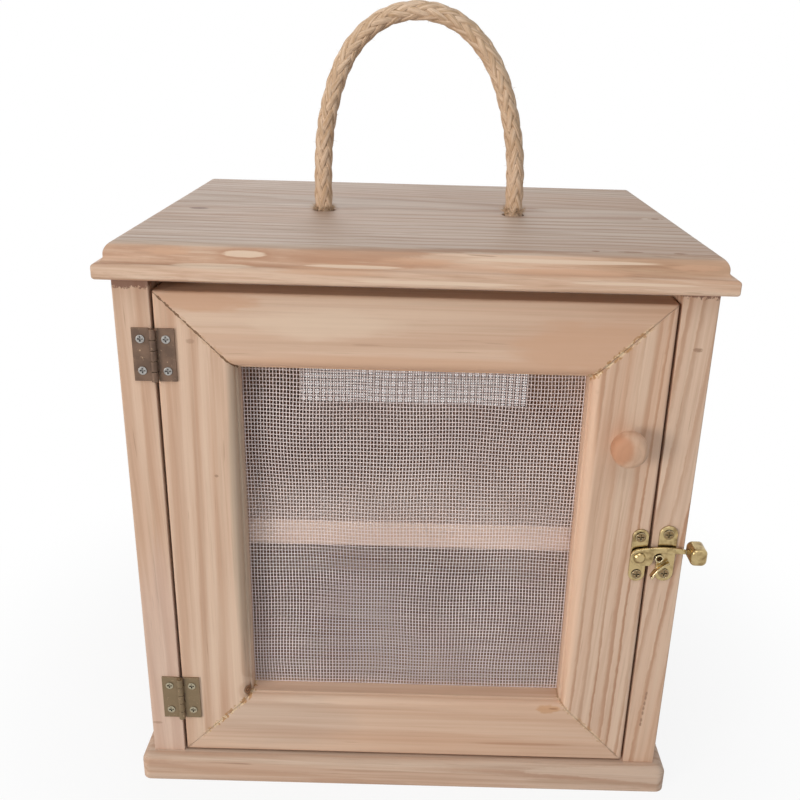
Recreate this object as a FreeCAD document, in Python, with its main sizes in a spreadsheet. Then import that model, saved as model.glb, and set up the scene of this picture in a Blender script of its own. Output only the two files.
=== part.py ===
import FreeCAD, Part
import math
import os
import Sketcher

# A small standing cheese cupboard: a pine case with a screened back, a mitred and screened door on
# two butt hinges, a brass swing latch and a rope carrying handle.
# Millimetres, +Z up, the front faces -Y, the origin is the middle of the base's underside.

# Driving sizes. Each goes into the sheet once, and everything else is worked out from them.

DRIVING_SIZES = {
    "carcass_width": 300,
    "carcass_depth": 226,
    "side_thickness": 18,
    "side_height": 290,
    "base_thickness": 16,
    "base_overhang": 7,
    "base_round": 5,
    "base_corner": 5.5,
    "top_thickness": 18,
    "top_overhang_side": 6,
    "top_overhang_front": 10,
    "shoulder_share": 0.36,
    "land_share": 0.03,
    "cove_share": 0.17,
    "nose_share": 0.10,
    "shelf_thickness": 15.5,
    "shelf_height": 147.5,
    "stop_height": 10,
    "stop_depth": 12,
    "back_member_width": 45,
    "back_member_thickness": 15,
    "door_gap_side": 1.4,
    "door_gap_bottom": 1.2,
    "door_gap_top": 7,
    "door_gap_behind": 2,
    "door_thickness": 18,
    "door_member_width": 40,
    "door_round": 1.4,
    "sight_round": 5,
    "sight_quirk": 1.2,
    "mitre_overrun": 3,
    "drill_overrun": 1,
    "rebate_width": 8,
    "rebate_depth": 3.5,
    "screen_thickness": 0.6,
    "screen_margin": 1,
    "screen_bar": 1,
    "screen_columns": 17,
    "screen_rows": 17,
    "hinge_height": 28,
    "hinge_inset_top": 33,
    "hinge_inset_bottom": 38,
    "hinge_screw_rise": 8.4,
    "leaf_reach": 10.8,
    "leaf_clear": 2.1,
    "leaf_thickness": 1,
    "knuckle_radius": 1.8,
    "knuckle_gap": 0.4,
    "knuckle_stand": 0.3,
    "pin_radius": 0.8,
    "pin_play": 0.05,
    "pin_end": 0.3,
    "screw_head_radius": 2.2,
    "screw_head_height": 1.4,
    "screw_shank_radius": 1.1,
    "screw_length": 12,
    "screw_proud": 0.4,
    "screw_slot": 0.8,
    "latch_screw_head_radius": 2.8,
    "latch_screw_head_height": 1.7,
    "latch_screw_proud": 0.6,
    "latch_inset": 5.1,
    "plate_radius": 4.5,
    "plate_screw_rise": 11.5,
    "plate_thickness": 1,
    "plate_edge_round": 0.4,
    "keeper_inset": 8.5,
    "keeper_raise": 1.5,
    "keeper_radius": 5,
    "keeper_screw_rise": 12,
    "keeper_lip_height": 4,
    "keeper_lip_thickness": 1.2,
    "keeper_lip_radius": 19,
    "keeper_lip_left": 7.4,
    "keeper_lip_below": 2,
    "keeper_lip_right": 1.5,
    "keeper_lip_above": 8,
    "keeper_post_radius": 2.3,
    "keeper_post_bore": 1.6,
    "keeper_post_height": 4.2,
    "arm_stand": 1,
    "arm_thickness": 1.4,
    "arm_hub_radius": 5,
    "arm_notch_reach": 10.7,
    "arm_notch_clear": 0.5,
    "arm_bar_height": 2.2,
    "arm_bar_bow": 60,
    "arm_jaw_drop": 5,
    "thumb_start": 25,
    "thumb_width": 9,
    "thumb_height": 10,
    "thumb_raise": 1.5,
    "thumb_length": 10.5,
    "thumb_round": 3,
    "thumb_front_round": 2.2,
    "rivet_radius": 1.5,
    "rivet_depth": 8,
    "rivet_head_radius": 3.2,
    "rivet_head_height": 1.6,
    "rivet_collar_radius": 3,
    "rivet_collar_height": 0.7,
    "rivet_gap": 0.3,
    "knob_inset": 19.1,
    "knob_drop": 74,
    "knob_radius": 9.5,
    "knob_foot_radius": 6,
    "knob_foot_height": 3,
    "knob_shoulder": 8,
    "knob_flare_radius": 6,
    "knob_round": 4.5,
    "knob_land": 3.5,
    "knob_dome": 0.8,
    "knob_screw_head_radius": 3.5,
    "knob_screw_head_height": 2.2,
    "knob_screw_radius": 1.75,
    "knob_screw_bite": 10,
    "rope_radius": 5.25,
    "rope_hole_radius": 6.5,
    "rope_hole_spacing": 111,
    "rope_set_forward": 9,
    "rope_seat_gap": 0.3,
    "knot_height": 20,
    "knot_radius": 12.5,
    "knot_top_radius": 8,
    "knot_bottom_radius": 7,
    "knot_bulge": 11,
    "rope_end_length": 14,
    "dowel_radius": 4,
    "dowel_depth": 10,
    "dowel_set": 75,
    "base_screw_head_radius": 4,
    "base_screw_head_height": 3,
    "base_screw_radius": 2,
    "base_screw_length": 45,
    "base_screw_set": 80,
    "nail_radius": 0.9,
    "nail_head_radius": 2,
    "nail_head_height": 1,
    "nail_length": 40,
    "shelf_nail_set": 55,
    "back_nail_rise": 95,
}

doc = FreeCAD.newDocument("CheeseCupboard")
sheet = doc.addObject("Spreadsheet::Sheet", "Sizes")
for row, (alias, amount) in enumerate(DRIVING_SIZES.items(), start=1):
    sheet.set("A" + str(row), alias)
    sheet.set("B" + str(row), str(amount))
    sheet.setAlias("B" + str(row), alias)
doc.recompute()


class Size:
    """A length read from the sheet, kept with the expression that gives it."""

    def __init__(self, value, text):
        self.value = value
        self.text = text

    def __add__(self, other):
        return Size(self.value + number(other), f"({self.text} + {text_of(other)})")

    def __radd__(self, other):
        return Size(number(other) + self.value, f"({text_of(other)} + {self.text})")

    def __sub__(self, other):
        return Size(self.value - number(other), f"({self.text} - {text_of(other)})")

    def __rsub__(self, other):
        return Size(number(other) - self.value, f"({text_of(other)} - {self.text})")

    def __mul__(self, other):
        return Size(self.value * number(other), f"({self.text} * {text_of(other)})")

    def __rmul__(self, other):
        return Size(number(other) * self.value, f"({text_of(other)} * {self.text})")

    def __truediv__(self, other):
        return Size(self.value / number(other), f"({self.text} / {text_of(other)})")

    def __neg__(self):
        return Size(-self.value, f"(0 - {self.text})")


def number(item):
    return item.value if isinstance(item, Size) else float(item)


def text_of(item):
    return item.text if isinstance(item, Size) else str(item)


def size(alias):
    return Size(float(sheet.get(alias)), "Sizes." + alias)


# Planes and edges that several pieces share.

side_thickness = size("side_thickness")
half_width = size("carcass_width") / 2
inner_half = half_width - side_thickness
y_front = -size("carcass_depth") / 2
y_back = size("carcass_depth") / 2
z_floor = size("base_thickness")
z_ceiling = z_floor + size("side_height")
z_top = z_ceiling + size("top_thickness")
door_right = inner_half - size("door_gap_side")
door_left = -door_right
door_bottom = z_floor + size("door_gap_bottom")
door_top = z_ceiling - size("door_gap_top")
door_height = door_top - door_bottom
back_front = y_back - size("back_member_thickness")
shelf_top = z_floor + size("shelf_height")

# How pieces are made: bound features, placed in the shared frame.

TO_FRONT = FreeCAD.Rotation(FreeCAD.Vector(1, 0, 0), 90)
TO_BACK = FreeCAD.Rotation(FreeCAD.Vector(1, 0, 0), -90)
TO_GROUND = FreeCAD.Rotation(FreeCAD.Vector(1, 0, 0), 180)
TO_LEFT = FreeCAD.Rotation(FreeCAD.Vector(0, 1, 0), -90)
TO_RIGHT = FreeCAD.Rotation(FreeCAD.Vector(0, 1, 0), 90)
UPSIDE_DOWN = FreeCAD.Rotation(FreeCAD.Vector(0, 1, 0), 180)

nodes = []


def keep(item, label):
    """Mark an object as a finished sub-part under its own label."""
    item.Label = label
    nodes.append(item)
    return item


def place(item, at, turn=None):
    spot = FreeCAD.Vector(number(at[0]), number(at[1]), number(at[2]))
    item.Placement = FreeCAD.Placement(spot, turn or FreeCAD.Rotation())
    for axis, coordinate in zip("xyz", at):
        item.setExpression("Placement.Base." + axis, text_of(coordinate))
    return item


def feature(kind, name, **sizes):
    item = doc.addObject(kind, name)
    for attribute, amount in sizes.items():
        item.setExpression(attribute, text_of(amount))
    return item


def box(name, at, length, width, height):
    return place(feature("Part::Box", name, Length=length, Width=width, Height=height), at)


def cylinder(name, at, radius, height, turn=None):
    return place(feature("Part::Cylinder", name, Radius=radius, Height=height), at, turn)


def group(name, items):
    joined = doc.addObject("Part::Compound", name)
    joined.Links = items
    return joined


def fuse(name, items):
    joined = doc.addObject("Part::MultiFuse", name)
    joined.Shapes = items
    return joined


def cut(name, base, tools):
    """The base with every tool taken out of it."""
    result = doc.addObject("Part::Cut", name)
    result.Base = base
    result.Tool = tools[0] if len(tools) == 1 else group(name + "_tools", tools)
    return result


def new_body(name):
    return doc.addObject("PartDesign::Body", name)


def sketch_on(body, role, name):
    plane = next(item for item in body.Origin.OriginFeatures if item.Role == role)
    sketch = body.newObject("Sketcher::SketchObject", name)
    sketch.AttachmentSupport = [(plane, "")]
    sketch.MapMode = "FlatFace"
    return sketch


def held(sketch, geometry, point, x, y):
    """Hold one point of a sketch at sizes from the sheet."""
    for kind, amount in (("DistanceX", x), ("DistanceY", y)):
        index = sketch.addConstraint(
            Sketcher.Constraint(kind, -1, 1, geometry, point, number(amount))
        )
        sketch.setExpression(f"Constraints[{index}]", text_of(amount))


def radius_held(sketch, geometry, radius):
    index = sketch.addConstraint(Sketcher.Constraint("Radius", geometry, number(radius)))
    sketch.setExpression(f"Constraints[{index}]", text_of(radius))


def arc_between(start, end, radius, bend):
    """The short arc from start to end that bends to the left or to the right."""
    middle = (start + end) * 0.5
    chord = end - start
    rise = math.sqrt(max(radius**2 - chord.Length**2 / 4, 0))
    left = FreeCAD.Vector(-chord.y, chord.x, 0).normalize()
    centre = middle + left * (rise if bend == "left" else -rise)
    first, last = (start, end) if bend == "left" else (end, start)
    angles = [math.atan2(point.y - centre.y, point.x - centre.x) for point in (first, last)]
    if angles[1] < angles[0]:
        angles[1] += 2 * math.pi
    circle = Part.Circle(centre, FreeCAD.Vector(0, 0, 1), radius)
    return Part.ArcOfCircle(circle, angles[0], angles[1])


def outline(sketch, corners):
    """A closed outline. A corner is (x, y), or (x, y, bend, radius) where an arc leaves it."""
    points = [FreeCAD.Vector(number(corner[0]), number(corner[1]), 0) for corner in corners]
    ends = []
    for place_in_list, corner in enumerate(corners):
        start = points[place_in_list]
        end = points[(place_in_list + 1) % len(points)]
        if len(corner) == 2:
            edge = sketch.addGeometry(Part.LineSegment(start, end))
            ends.append((edge, 1, 2))
            continue
        bend, radius = corner[2], corner[3]
        edge = sketch.addGeometry(arc_between(start, end, number(radius), bend))
        ends.append((edge, 1, 2) if bend == "left" else (edge, 2, 1))
    for place_in_list, (edge, first, last) in enumerate(ends):
        following, following_first, _ = ends[(place_in_list + 1) % len(ends)]
        sketch.addConstraint(
            Sketcher.Constraint("Coincident", edge, last, following, following_first)
        )
    for corner, (edge, first, _) in zip(corners, ends):
        held(sketch, edge, first, corner[0], corner[1])
        if len(corner) == 4:
            radius_held(sketch, edge, corner[3])


def disc(sketch, x, y, radius):
    centre = FreeCAD.Vector(number(x), number(y), 0)
    edge = sketch.addGeometry(Part.Circle(centre, FreeCAD.Vector(0, 0, 1), number(radius)))
    held(sketch, edge, 3, x, y)
    radius_held(sketch, edge, radius)


def pad(body, sketch, length):
    item = body.newObject("PartDesign::Pad", sketch.Name + "_pad")
    item.Profile = sketch
    item.setExpression("Length", text_of(length))
    return item


def pocket_through(body, sketch):
    item = body.newObject("PartDesign::Pocket", sketch.Name + "_pocket")
    item.Profile = sketch
    item.Type = "ThroughAll"
    return item


def turned(name, corners):
    """A body turned about its own Z axis from an outline of (radius, height) corners."""
    body = new_body(name)
    sketch = sketch_on(body, "XZ_Plane", name + "_profile")
    outline(sketch, corners)
    item = body.newObject("PartDesign::Revolution", name + "_turned")
    item.Profile = sketch
    item.ReferenceAxis = (sketch, ["V_Axis"])
    item.Angle = 360
    return body


def dome_radius(reach, rise):
    """The radius of a dome that rises from its rim to its middle on the turning axis."""
    return (reach * reach + rise * rise) / (rise * 2)


def fillet_where(body, base, radius, chosen):
    """Round the edges of a feature that the test picks."""
    doc.recompute()
    names = [
        "Edge" + str(count)
        for count, edge in enumerate(base.Shape.Edges, start=1)
        if chosen(edge)
    ]
    item = body.newObject("PartDesign::Fillet", base.Name + "_fillet")
    item.Base = (base, names)
    item.setExpression("Radius", text_of(radius))
    return item


LEVEL_TOLERANCE = 1e-4


def all_at(axis, level):
    """A test for edges that lie wholly at one level of one axis."""

    def chosen(edge):
        return all(abs(getattr(v.Point, axis) - level) < LEVEL_TOLERANCE for v in edge.Vertexes)

    return chosen


# Fasteners. Each is made with the solid that its hole is cut with, so that it fits by construction.


SLOT_REACH = 1.3
SLOT_DEPTH = 0.5


def screw(name, at, turn, head_radius, head_height, shank_radius, length, proud):
    """A cross-head screw along its own Z, with the plug that its hole is cut with."""
    head_bottom = proud - head_height
    head = feature(
        "Part::Cone", name + "_head", Radius1=shank_radius, Radius2=head_radius, Height=head_height
    )
    place(head, (0, 0, head_bottom))
    shank = cylinder(name + "_shank", (0, 0, head_bottom - length), shank_radius, length)
    plug = place(fuse(name + "_plug", [head, shank]), at, turn)
    slot = size("screw_slot")
    slot_length = head_radius * SLOT_REACH
    slot_depth = head_height * SLOT_DEPTH
    slots = []
    for end, (long_side, short_side) in enumerate(((slot_length, slot), (slot, slot_length))):
        corner = (-long_side / 2, -short_side / 2, proud - slot_depth)
        slots.append(
            box(name + "_slot" + str(end), corner, long_side, short_side, slot_depth * 2)
        )
    cross = place(fuse(name + "_cross", slots), at, turn)
    return cut(name, plug, [cross]), plug


def nail(name, at, turn):
    """A round-head nail along its own Z, its head level with the board's face."""
    head_height = size("nail_head_height")
    head = cylinder(
        name + "_head", (0, 0, -head_height), size("nail_head_radius"), head_height
    )
    shank = cylinder(
        name + "_shank", (0, 0, -size("nail_length")), size("nail_radius"), size("nail_length")
    )
    return place(fuse(name, [head, shank]), at, turn)


def hinge_screw(name, at):
    return screw(
        name,
        at,
        TO_FRONT,
        size("screw_head_radius"),
        size("screw_head_height"),
        size("screw_shank_radius"),
        size("screw_length"),
        size("screw_proud"),
    )


side_middle = inner_half + side_thickness / 2

dowels = []
base_screws = []
base_plugs = []
for end, along in (("front", -1), ("back", 1)):
    for hand, across in (("left", -1), ("right", 1)):
        dowels.append(
            cylinder(
                f"dowel_{hand}_{end}",
                (side_middle * across, size("dowel_set") * along, z_ceiling - size("dowel_depth")),
                size("dowel_radius"),
                size("dowel_depth") * 2,
            )
        )
        one, plug = screw(
            f"base_screw_{hand}_{end}",
            (side_middle * across, size("base_screw_set") * along, 0),
            TO_GROUND,
            size("base_screw_head_radius"),
            size("base_screw_head_height"),
            size("base_screw_radius"),
            size("base_screw_length"),
            0,
        )
        base_screws.append(one)
        base_plugs.append(plug)
keep(group("TopDowels", dowels), "top_dowels")
keep(group("BaseScrews", base_screws), "base_screws")

shelf_nails = []
back_nails = []
shelf_middle = shelf_top - size("shelf_thickness") / 2
back_middle = y_back - size("back_member_thickness") / 2
side_centre = z_floor + size("side_height") / 2
for hand, across, turn in (("left", -1, TO_LEFT), ("right", 1, TO_RIGHT)):
    for end, along in (("front", -1), ("back", 1)):
        shelf_nails.append(
            nail(
                f"shelf_nail_{hand}_{end}",
                (half_width * across, size("shelf_nail_set") * along, shelf_middle),
                turn,
            )
        )
    for end, along in (("low", -1), ("high", 1)):
        back_nails.append(
            nail(
                f"back_nail_{hand}_{end}",
                (half_width * across, back_middle, side_centre + size("back_nail_rise") * along),
                turn,
            )
        )
keep(group("ShelfNails", shelf_nails), "shelf_nails")
keep(group("BackNails", back_nails), "back_frame_nails")

# Base board: a flat board with rounded corners, its upper edges rounded over.

base_half_x = half_width + size("base_overhang")
base_half_y = y_back + size("base_overhang")
base_corner = size("base_corner")
base_body = new_body("BaseBlank")
base_sketch = sketch_on(base_body, "XY_Plane", "BaseOutline")
outline(
    base_sketch,
    [
        (base_corner - base_half_x, -base_half_y),
        (base_half_x - base_corner, -base_half_y, "left", base_corner),
        (base_half_x, base_corner - base_half_y),
        (base_half_x, base_half_y - base_corner, "left", base_corner),
        (base_half_x - base_corner, base_half_y),
        (base_corner - base_half_x, base_half_y, "left", base_corner),
        (-base_half_x, base_half_y - base_corner),
        (-base_half_x, base_corner - base_half_y, "left", base_corner),
    ],
)
base_pad = pad(base_body, base_sketch, z_floor)
fillet_where(base_body, base_pad, size("base_round"), all_at("z", z_floor.value))
keep(cut("BaseBoard", base_body, base_plugs), "base_board")

# Top board: one moulded section run across and one run from front to back, kept where they meet,
# which leaves the moulding mitred at the four corners.


def moulded_section(half):
    """The board's section: rounded shoulder, cove and nose at both ends, from below upwards."""
    thickness = size("top_thickness")
    shoulder = thickness * size("shoulder_share")
    cove = thickness * size("cove_share")
    nose = thickness * size("nose_share")
    cove_top = thickness - shoulder - thickness * size("land_share")
    cove_bottom = cove_top - cove
    cove_in = half - nose - cove
    top_in = cove_in - shoulder
    right = [
        (half - nose, 0, "left", nose),
        (half, nose),
        (half, cove_bottom - nose, "left", nose),
        (half - nose, cove_bottom, "right", cove),
        (cove_in, cove_top),
        (cove_in, thickness - shoulder, "left", shoulder),
        (top_in, thickness),
    ]
    left = [
        (-top_in, thickness, "left", shoulder),
        (-cove_in, thickness - shoulder),
        (-cove_in, cove_top, "right", cove),
        (nose - half, cove_bottom, "left", nose),
        (-half, cove_bottom - nose),
        (-half, nose, "left", nose),
        (nose - half, 0),
    ]
    return right + left


top_half_x = half_width + size("top_overhang_side")
top_half_y = y_back + size("top_overhang_front")
across_body = new_body("TopAcross")
across_sketch = sketch_on(across_body, "YZ_Plane", "TopSectionDeep")
outline(across_sketch, moulded_section(top_half_y))
pad(across_body, across_sketch, top_half_x * 2)
place(across_body, (-top_half_x, 0, z_ceiling))
along_body = new_body("TopAlong")
along_sketch = sketch_on(along_body, "XZ_Plane", "TopSectionWide")
outline(along_sketch, moulded_section(top_half_x))
pad(along_body, along_sketch, top_half_y * 2)
place(along_body, (0, top_half_y, z_ceiling))
top_blank = doc.addObject("Part::MultiCommon", "TopBlank")
top_blank.Shapes = [across_body, along_body]

rope_y = -size("rope_set_forward")
rope_half = size("rope_hole_spacing") / 2
rope_holes = [
    cylinder(
        "RopeHole" + hand,
        (rope_half * across, rope_y, z_ceiling - size("drill_overrun")),
        size("rope_hole_radius"),
        size("top_thickness") + size("drill_overrun") * 2,
    )
    for hand, across in (("Left", -1), ("Right", 1))
]
keep(cut("TopBoard", top_blank, rope_holes + dowels), "top_board")

# Hinges: surface leaves with five knuckles on a pin, just clear of the front faces.

pin_x = -inner_half + size("door_gap_side") / 2
pin_y = y_front - size("knuckle_radius") - size("knuckle_stand")
leaf_width = size("leaf_reach") - size("leaf_clear")
leaf_screw_x = (size("leaf_reach") + size("leaf_clear")) / 2
KNUCKLES = 5

side_hinge_screws = []
side_hinge_plugs = []
door_hinge_screws = []
door_hinge_plugs = []


def hinge_leaf(name, middle, first_knuckle, hand, plugs):
    """One leaf: its plate, its share of the knuckles and the tongues that join them."""
    low = middle - size("hinge_height") / 2
    step = size("hinge_height") / KNUCKLES
    leaf_y = y_front - size("leaf_thickness")
    plate_x = pin_x + size("leaf_clear") if hand > 0 else pin_x - size("leaf_reach")
    tongue_x = pin_x if hand > 0 else pin_x - size("leaf_clear")
    plate = box(
        name + "_plate",
        (plate_x, leaf_y, low),
        leaf_width,
        size("leaf_thickness"),
        size("hinge_height"),
    )
    solids = [plate]
    for turn in range(first_knuckle, KNUCKLES, 2):
        bottom = low + step * turn + size("knuckle_gap") / 2
        tall = step - size("knuckle_gap")
        solids.append(
            cylinder(
                f"{name}_knuckle{turn}", (pin_x, pin_y, bottom), size("knuckle_radius"), tall
            )
        )
        solids.append(
            box(
                f"{name}_tongue{turn}",
                (tongue_x, leaf_y, bottom),
                size("leaf_clear"),
                size("leaf_thickness"),
                tall,
            )
        )
    bore = cylinder(
        name + "_bore",
        (pin_x, pin_y, low - size("drill_overrun")),
        size("pin_radius") + size("pin_play"),
        size("hinge_height") + size("drill_overrun") * 2,
    )
    return cut(name, fuse(name + "_solid", solids), [bore] + plugs)


def hinge(where, middle):
    """A whole hinge: two leaves, the pin and the four screws."""
    for hand, screws, plugs in (
        (-1, side_hinge_screws, side_hinge_plugs),
        (1, door_hinge_screws, door_hinge_plugs),
    ):
        own_plugs = []
        for level, along in (("low", -1), ("high", 1)):
            one, plug = hinge_screw(
                f"{where}_hinge_screw_{'side' if hand < 0 else 'door'}_{level}",
                (
                    pin_x + leaf_screw_x * hand,
                    y_front - size("leaf_thickness"),
                    middle + size("hinge_screw_rise") * along,
                ),
            )
            screws.append(one)
            own_plugs.append(plug)
        plugs.extend(own_plugs)
        leaf = "side" if hand < 0 else "door"
        label = f"hinge_{where}_{leaf}_leaf"
        keep(hinge_leaf(label + "_cut", middle, 0 if hand < 0 else 1, hand, own_plugs), label)
    pin = cylinder(
        f"hinge_{where}_pin_rod",
        (pin_x, pin_y, middle - size("hinge_height") / 2 - size("pin_end")),
        size("pin_radius"),
        size("hinge_height") + size("pin_end") * 2,
    )
    keep(pin, f"hinge_{where}_pin")


hinge("upper", door_top - size("hinge_inset_top"))
hinge("lower", door_bottom + size("hinge_inset_bottom"))
keep(group("SideHingeScrews", side_hinge_screws), "hinge_screws_side")
keep(group("DoorHingeScrews", door_hinge_screws), "hinge_screws_door")

# Latch: a plate and rivet on the door, a keeper on the right side, an arm that turns on the rivet.

latch_x = door_right - size("latch_inset")
latch_z = door_bottom + door_height / 2
keeper_x = inner_half + size("keeper_inset")
keeper_z = latch_z + size("keeper_raise")
plate_thickness = size("plate_thickness")
arm_back = plate_thickness + size("arm_stand")
arm_front = arm_back + size("arm_thickness")


def stadium(radius, rise):
    """An upright plate with round ends about two screws."""
    return [
        (radius, -rise),
        (radius, rise, "left", radius),
        (0, rise + radius, "left", radius),
        (-radius, rise),
        (-radius, -rise, "left", radius),
        (0, -rise - radius, "left", radius),
    ]


rivet_head = arm_front + size("rivet_gap")
rivet_radius = size("rivet_radius")
rivet_head_radius = size("rivet_head_radius")
rivet_head_height = size("rivet_head_height")
collar_top = plate_thickness + size("rivet_collar_height")
rivet = turned(
    "Rivet",
    [
        (0, -size("rivet_depth")),
        (rivet_radius, -size("rivet_depth")),
        (rivet_radius, plate_thickness),
        (size("rivet_collar_radius"), plate_thickness),
        (size("rivet_collar_radius"), collar_top),
        (rivet_radius, collar_top),
        (rivet_radius, rivet_head),
        (rivet_head_radius, rivet_head, "left", dome_radius(rivet_head_radius, rivet_head_height)),
        (0, rivet_head + rivet_head_height),
    ],
)
place(rivet, (latch_x, y_front, latch_z), TO_FRONT)
keep(rivet, "latch_rivet")


def latch_screws(name, x, z, rise):
    """The two screws of one latch plate, with the plugs for their holes."""
    pairs = [
        screw(
            f"{name}_{level}",
            (x, y_front - plate_thickness, z + rise * along),
            TO_FRONT,
            size("latch_screw_head_radius"),
            size("latch_screw_head_height"),
            size("screw_shank_radius"),
            size("screw_length"),
            size("latch_screw_proud"),
        )
        for level, along in (("low", -1), ("high", 1))
    ]
    return [pair[0] for pair in pairs], [pair[1] for pair in pairs]


plate_screws, plate_plugs = latch_screws(
    "plate_screw", latch_x, latch_z, size("plate_screw_rise")
)
keep(group("PlateScrews", plate_screws), "latch_plate_screws")
keeper_screws, keeper_plugs = latch_screws(
    "keeper_screw", keeper_x, keeper_z, size("keeper_screw_rise")
)
keep(group("KeeperScrews", keeper_screws), "latch_keeper_screws")

plate_body = new_body("PlateBlank")
plate_sketch = sketch_on(plate_body, "XZ_Plane", "PlateOutline")
outline(plate_sketch, stadium(size("plate_radius"), size("plate_screw_rise")))
plate_pad = pad(plate_body, plate_sketch, plate_thickness)
plate_front = all_at("y", -plate_thickness.value)
fillet_where(plate_body, plate_pad, size("plate_edge_round"), plate_front)
place(plate_body, (latch_x, y_front, latch_z))
keep(cut("LatchPlate", plate_body, plate_plugs + [rivet]), "latch_plate")

# The keeper's lip follows a flat curve above its lower screw, and its hollow post stands in the arm's notch.

LIP_LEAN = (0.53, 0.85)
notch_x = size("arm_notch_reach")
keeper_body = new_body("KeeperBlank")
keeper_sketch = sketch_on(keeper_body, "XZ_Plane", "KeeperOutline")
outline(keeper_sketch, stadium(size("keeper_radius"), size("keeper_screw_rise")))
keeper_pad = pad(keeper_body, keeper_sketch, plate_thickness)
fillet_where(keeper_body, keeper_pad, size("plate_edge_round"), plate_front)
post_x = latch_x + notch_x - keeper_x
post_z = latch_z - keeper_z
post_sketch = sketch_on(keeper_body, "XZ_Plane", "PostOutline")
disc(post_sketch, post_x, post_z, size("keeper_post_radius"))
pad(keeper_body, post_sketch, size("keeper_post_height"))
bore_sketch = sketch_on(keeper_body, "XZ_Plane", "PostBore")
disc(bore_sketch, post_x, post_z, size("keeper_post_bore"))
post_bore = pocket_through(keeper_body, bore_sketch)
post_bore.Midplane = True
lip_sketch = sketch_on(keeper_body, "XZ_Plane", "LipOutline")
lip_thickness = size("keeper_lip_thickness")
lip_radius = size("keeper_lip_radius")
lip_low_x = -size("keeper_lip_left")
lip_low_z = -size("keeper_screw_rise") - size("keeper_lip_below")
lip_high_x = size("keeper_lip_right")
lip_high_z = size("keeper_lip_above") - size("keeper_screw_rise")
lip_lean_x = lip_thickness * LIP_LEAN[0]
lip_lean_z = lip_thickness * LIP_LEAN[1]
outline(
    lip_sketch,
    [
        (lip_low_x + lip_lean_x, lip_low_z - lip_lean_z, "right", lip_radius - lip_thickness),
        (lip_high_x + lip_lean_x, lip_high_z - lip_lean_z),
        (lip_high_x, lip_high_z, "left", lip_radius),
        (lip_low_x, lip_low_z),
    ],
)
pad(keeper_body, lip_sketch, size("keeper_lip_height"))
place(keeper_body, (keeper_x, y_front, keeper_z))
keep(cut("LatchKeeper", keeper_body, keeper_plugs), "latch_keeper")

# The arm: a hub on the rivet, a jaw, a notch that drops over the keeper's post, a bar and a thumb piece.

hub = size("arm_hub_radius")
notch = size("keeper_post_radius") + size("arm_notch_clear")
jaw = notch_x - notch
jaw_drop = size("arm_jaw_drop")
jaw_tip_value = math.sqrt(jaw.value**2 - jaw_drop.value**2)
jaw_tip = Size(jaw_tip_value, f"sqrt({jaw.text} * {jaw.text} - {jaw_drop.text} * {jaw_drop.text})")
thumb_start = size("thumb_start")
bar_top = notch + size("arm_bar_height")
bar_end = thumb_start + size("drill_overrun")
arm_body = new_body("LatchArm")
arm_sketch = sketch_on(arm_body, "XZ_Plane", "ArmOutline")
outline(
    arm_sketch,
    [
        (0, -hub),
        (jaw_tip, -jaw_drop, "left", jaw),
        (jaw, 0, "right", notch),
        (notch_x, notch),
        (bar_end, notch),
        (bar_end, bar_top, "left", size("arm_bar_bow")),
        (0, hub, "left", hub),
        (-hub, 0, "left", hub),
    ],
)
disc(arm_sketch, 0, 0, rivet_radius + size("pin_play"))
arm_pad = pad(arm_body, arm_sketch, size("arm_thickness"))
arm_face = all_at("y", -size("arm_thickness").value)
fillet_where(arm_body, arm_pad, size("plate_edge_round"), arm_face)
thumb_sketch = sketch_on(arm_body, "XZ_Plane", "ThumbOutline")
thumb_end = thumb_start + size("thumb_width")
thumb_low = (notch + bar_top) / 2 - size("thumb_height") / 2 + size("thumb_raise")
thumb_high = thumb_low + size("thumb_height")
thumb_round = size("thumb_round")
outline(
    thumb_sketch,
    [
        (thumb_start + thumb_round, thumb_low),
        (thumb_end - thumb_round, thumb_low, "left", thumb_round),
        (thumb_end, thumb_low + thumb_round),
        (thumb_end, thumb_high - thumb_round, "left", thumb_round),
        (thumb_end - thumb_round, thumb_high),
        (thumb_start + thumb_round, thumb_high, "left", thumb_round),
        (thumb_start, thumb_high - thumb_round),
        (thumb_start, thumb_low + thumb_round, "left", thumb_round),
    ],
)
thumb_pad = pad(arm_body, thumb_sketch, size("thumb_length"))
fillet_where(
    arm_body, thumb_pad, size("thumb_front_round"), all_at("y", -size("thumb_length").value)
)
place(arm_body, (latch_x, y_front - arm_back, latch_z))
keep(arm_body, "latch_arm")

# Knob: a turned knob held by a screw through the stile from behind.

knob_x = door_right - size("knob_inset")
knob_z = door_top - size("knob_drop")
knob_radius = size("knob_radius")
knob_round = size("knob_round")
knob_shoulder = size("knob_shoulder")
knob_front = knob_shoulder + size("knob_land") + knob_round
knob_face = knob_radius - knob_round
knob_dome = size("knob_dome")
knob_blank = turned(
    "KnobBlank",
    [
        (0, 0),
        (size("knob_foot_radius"), 0),
        (size("knob_foot_radius"), size("knob_foot_height"), "right", size("knob_flare_radius")),
        (knob_radius, knob_shoulder),
        (knob_radius, knob_shoulder + size("knob_land"), "left", knob_round),
        (knob_face, knob_front, "left", dome_radius(knob_face, knob_dome)),
        (0, knob_front + knob_dome),
    ],
)
place(knob_blank, (knob_x, y_front, knob_z), TO_FRONT)
knob_screw_reach = size("door_thickness") + size("knob_screw_bite")
knob_screw, knob_plug = screw(
    "KnobScrew",
    (knob_x, y_front + size("door_thickness"), knob_z),
    TO_BACK,
    size("knob_screw_head_radius"),
    size("knob_screw_head_height"),
    size("knob_screw_radius"),
    knob_screw_reach - size("knob_screw_head_height"),
    0,
)
keep(knob_screw, "knob_screw")
keep(cut("DoorKnob", knob_blank, [knob_plug]), "door_knob")

# Sides and shelf: plain boards, drilled by their own fasteners.

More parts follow.
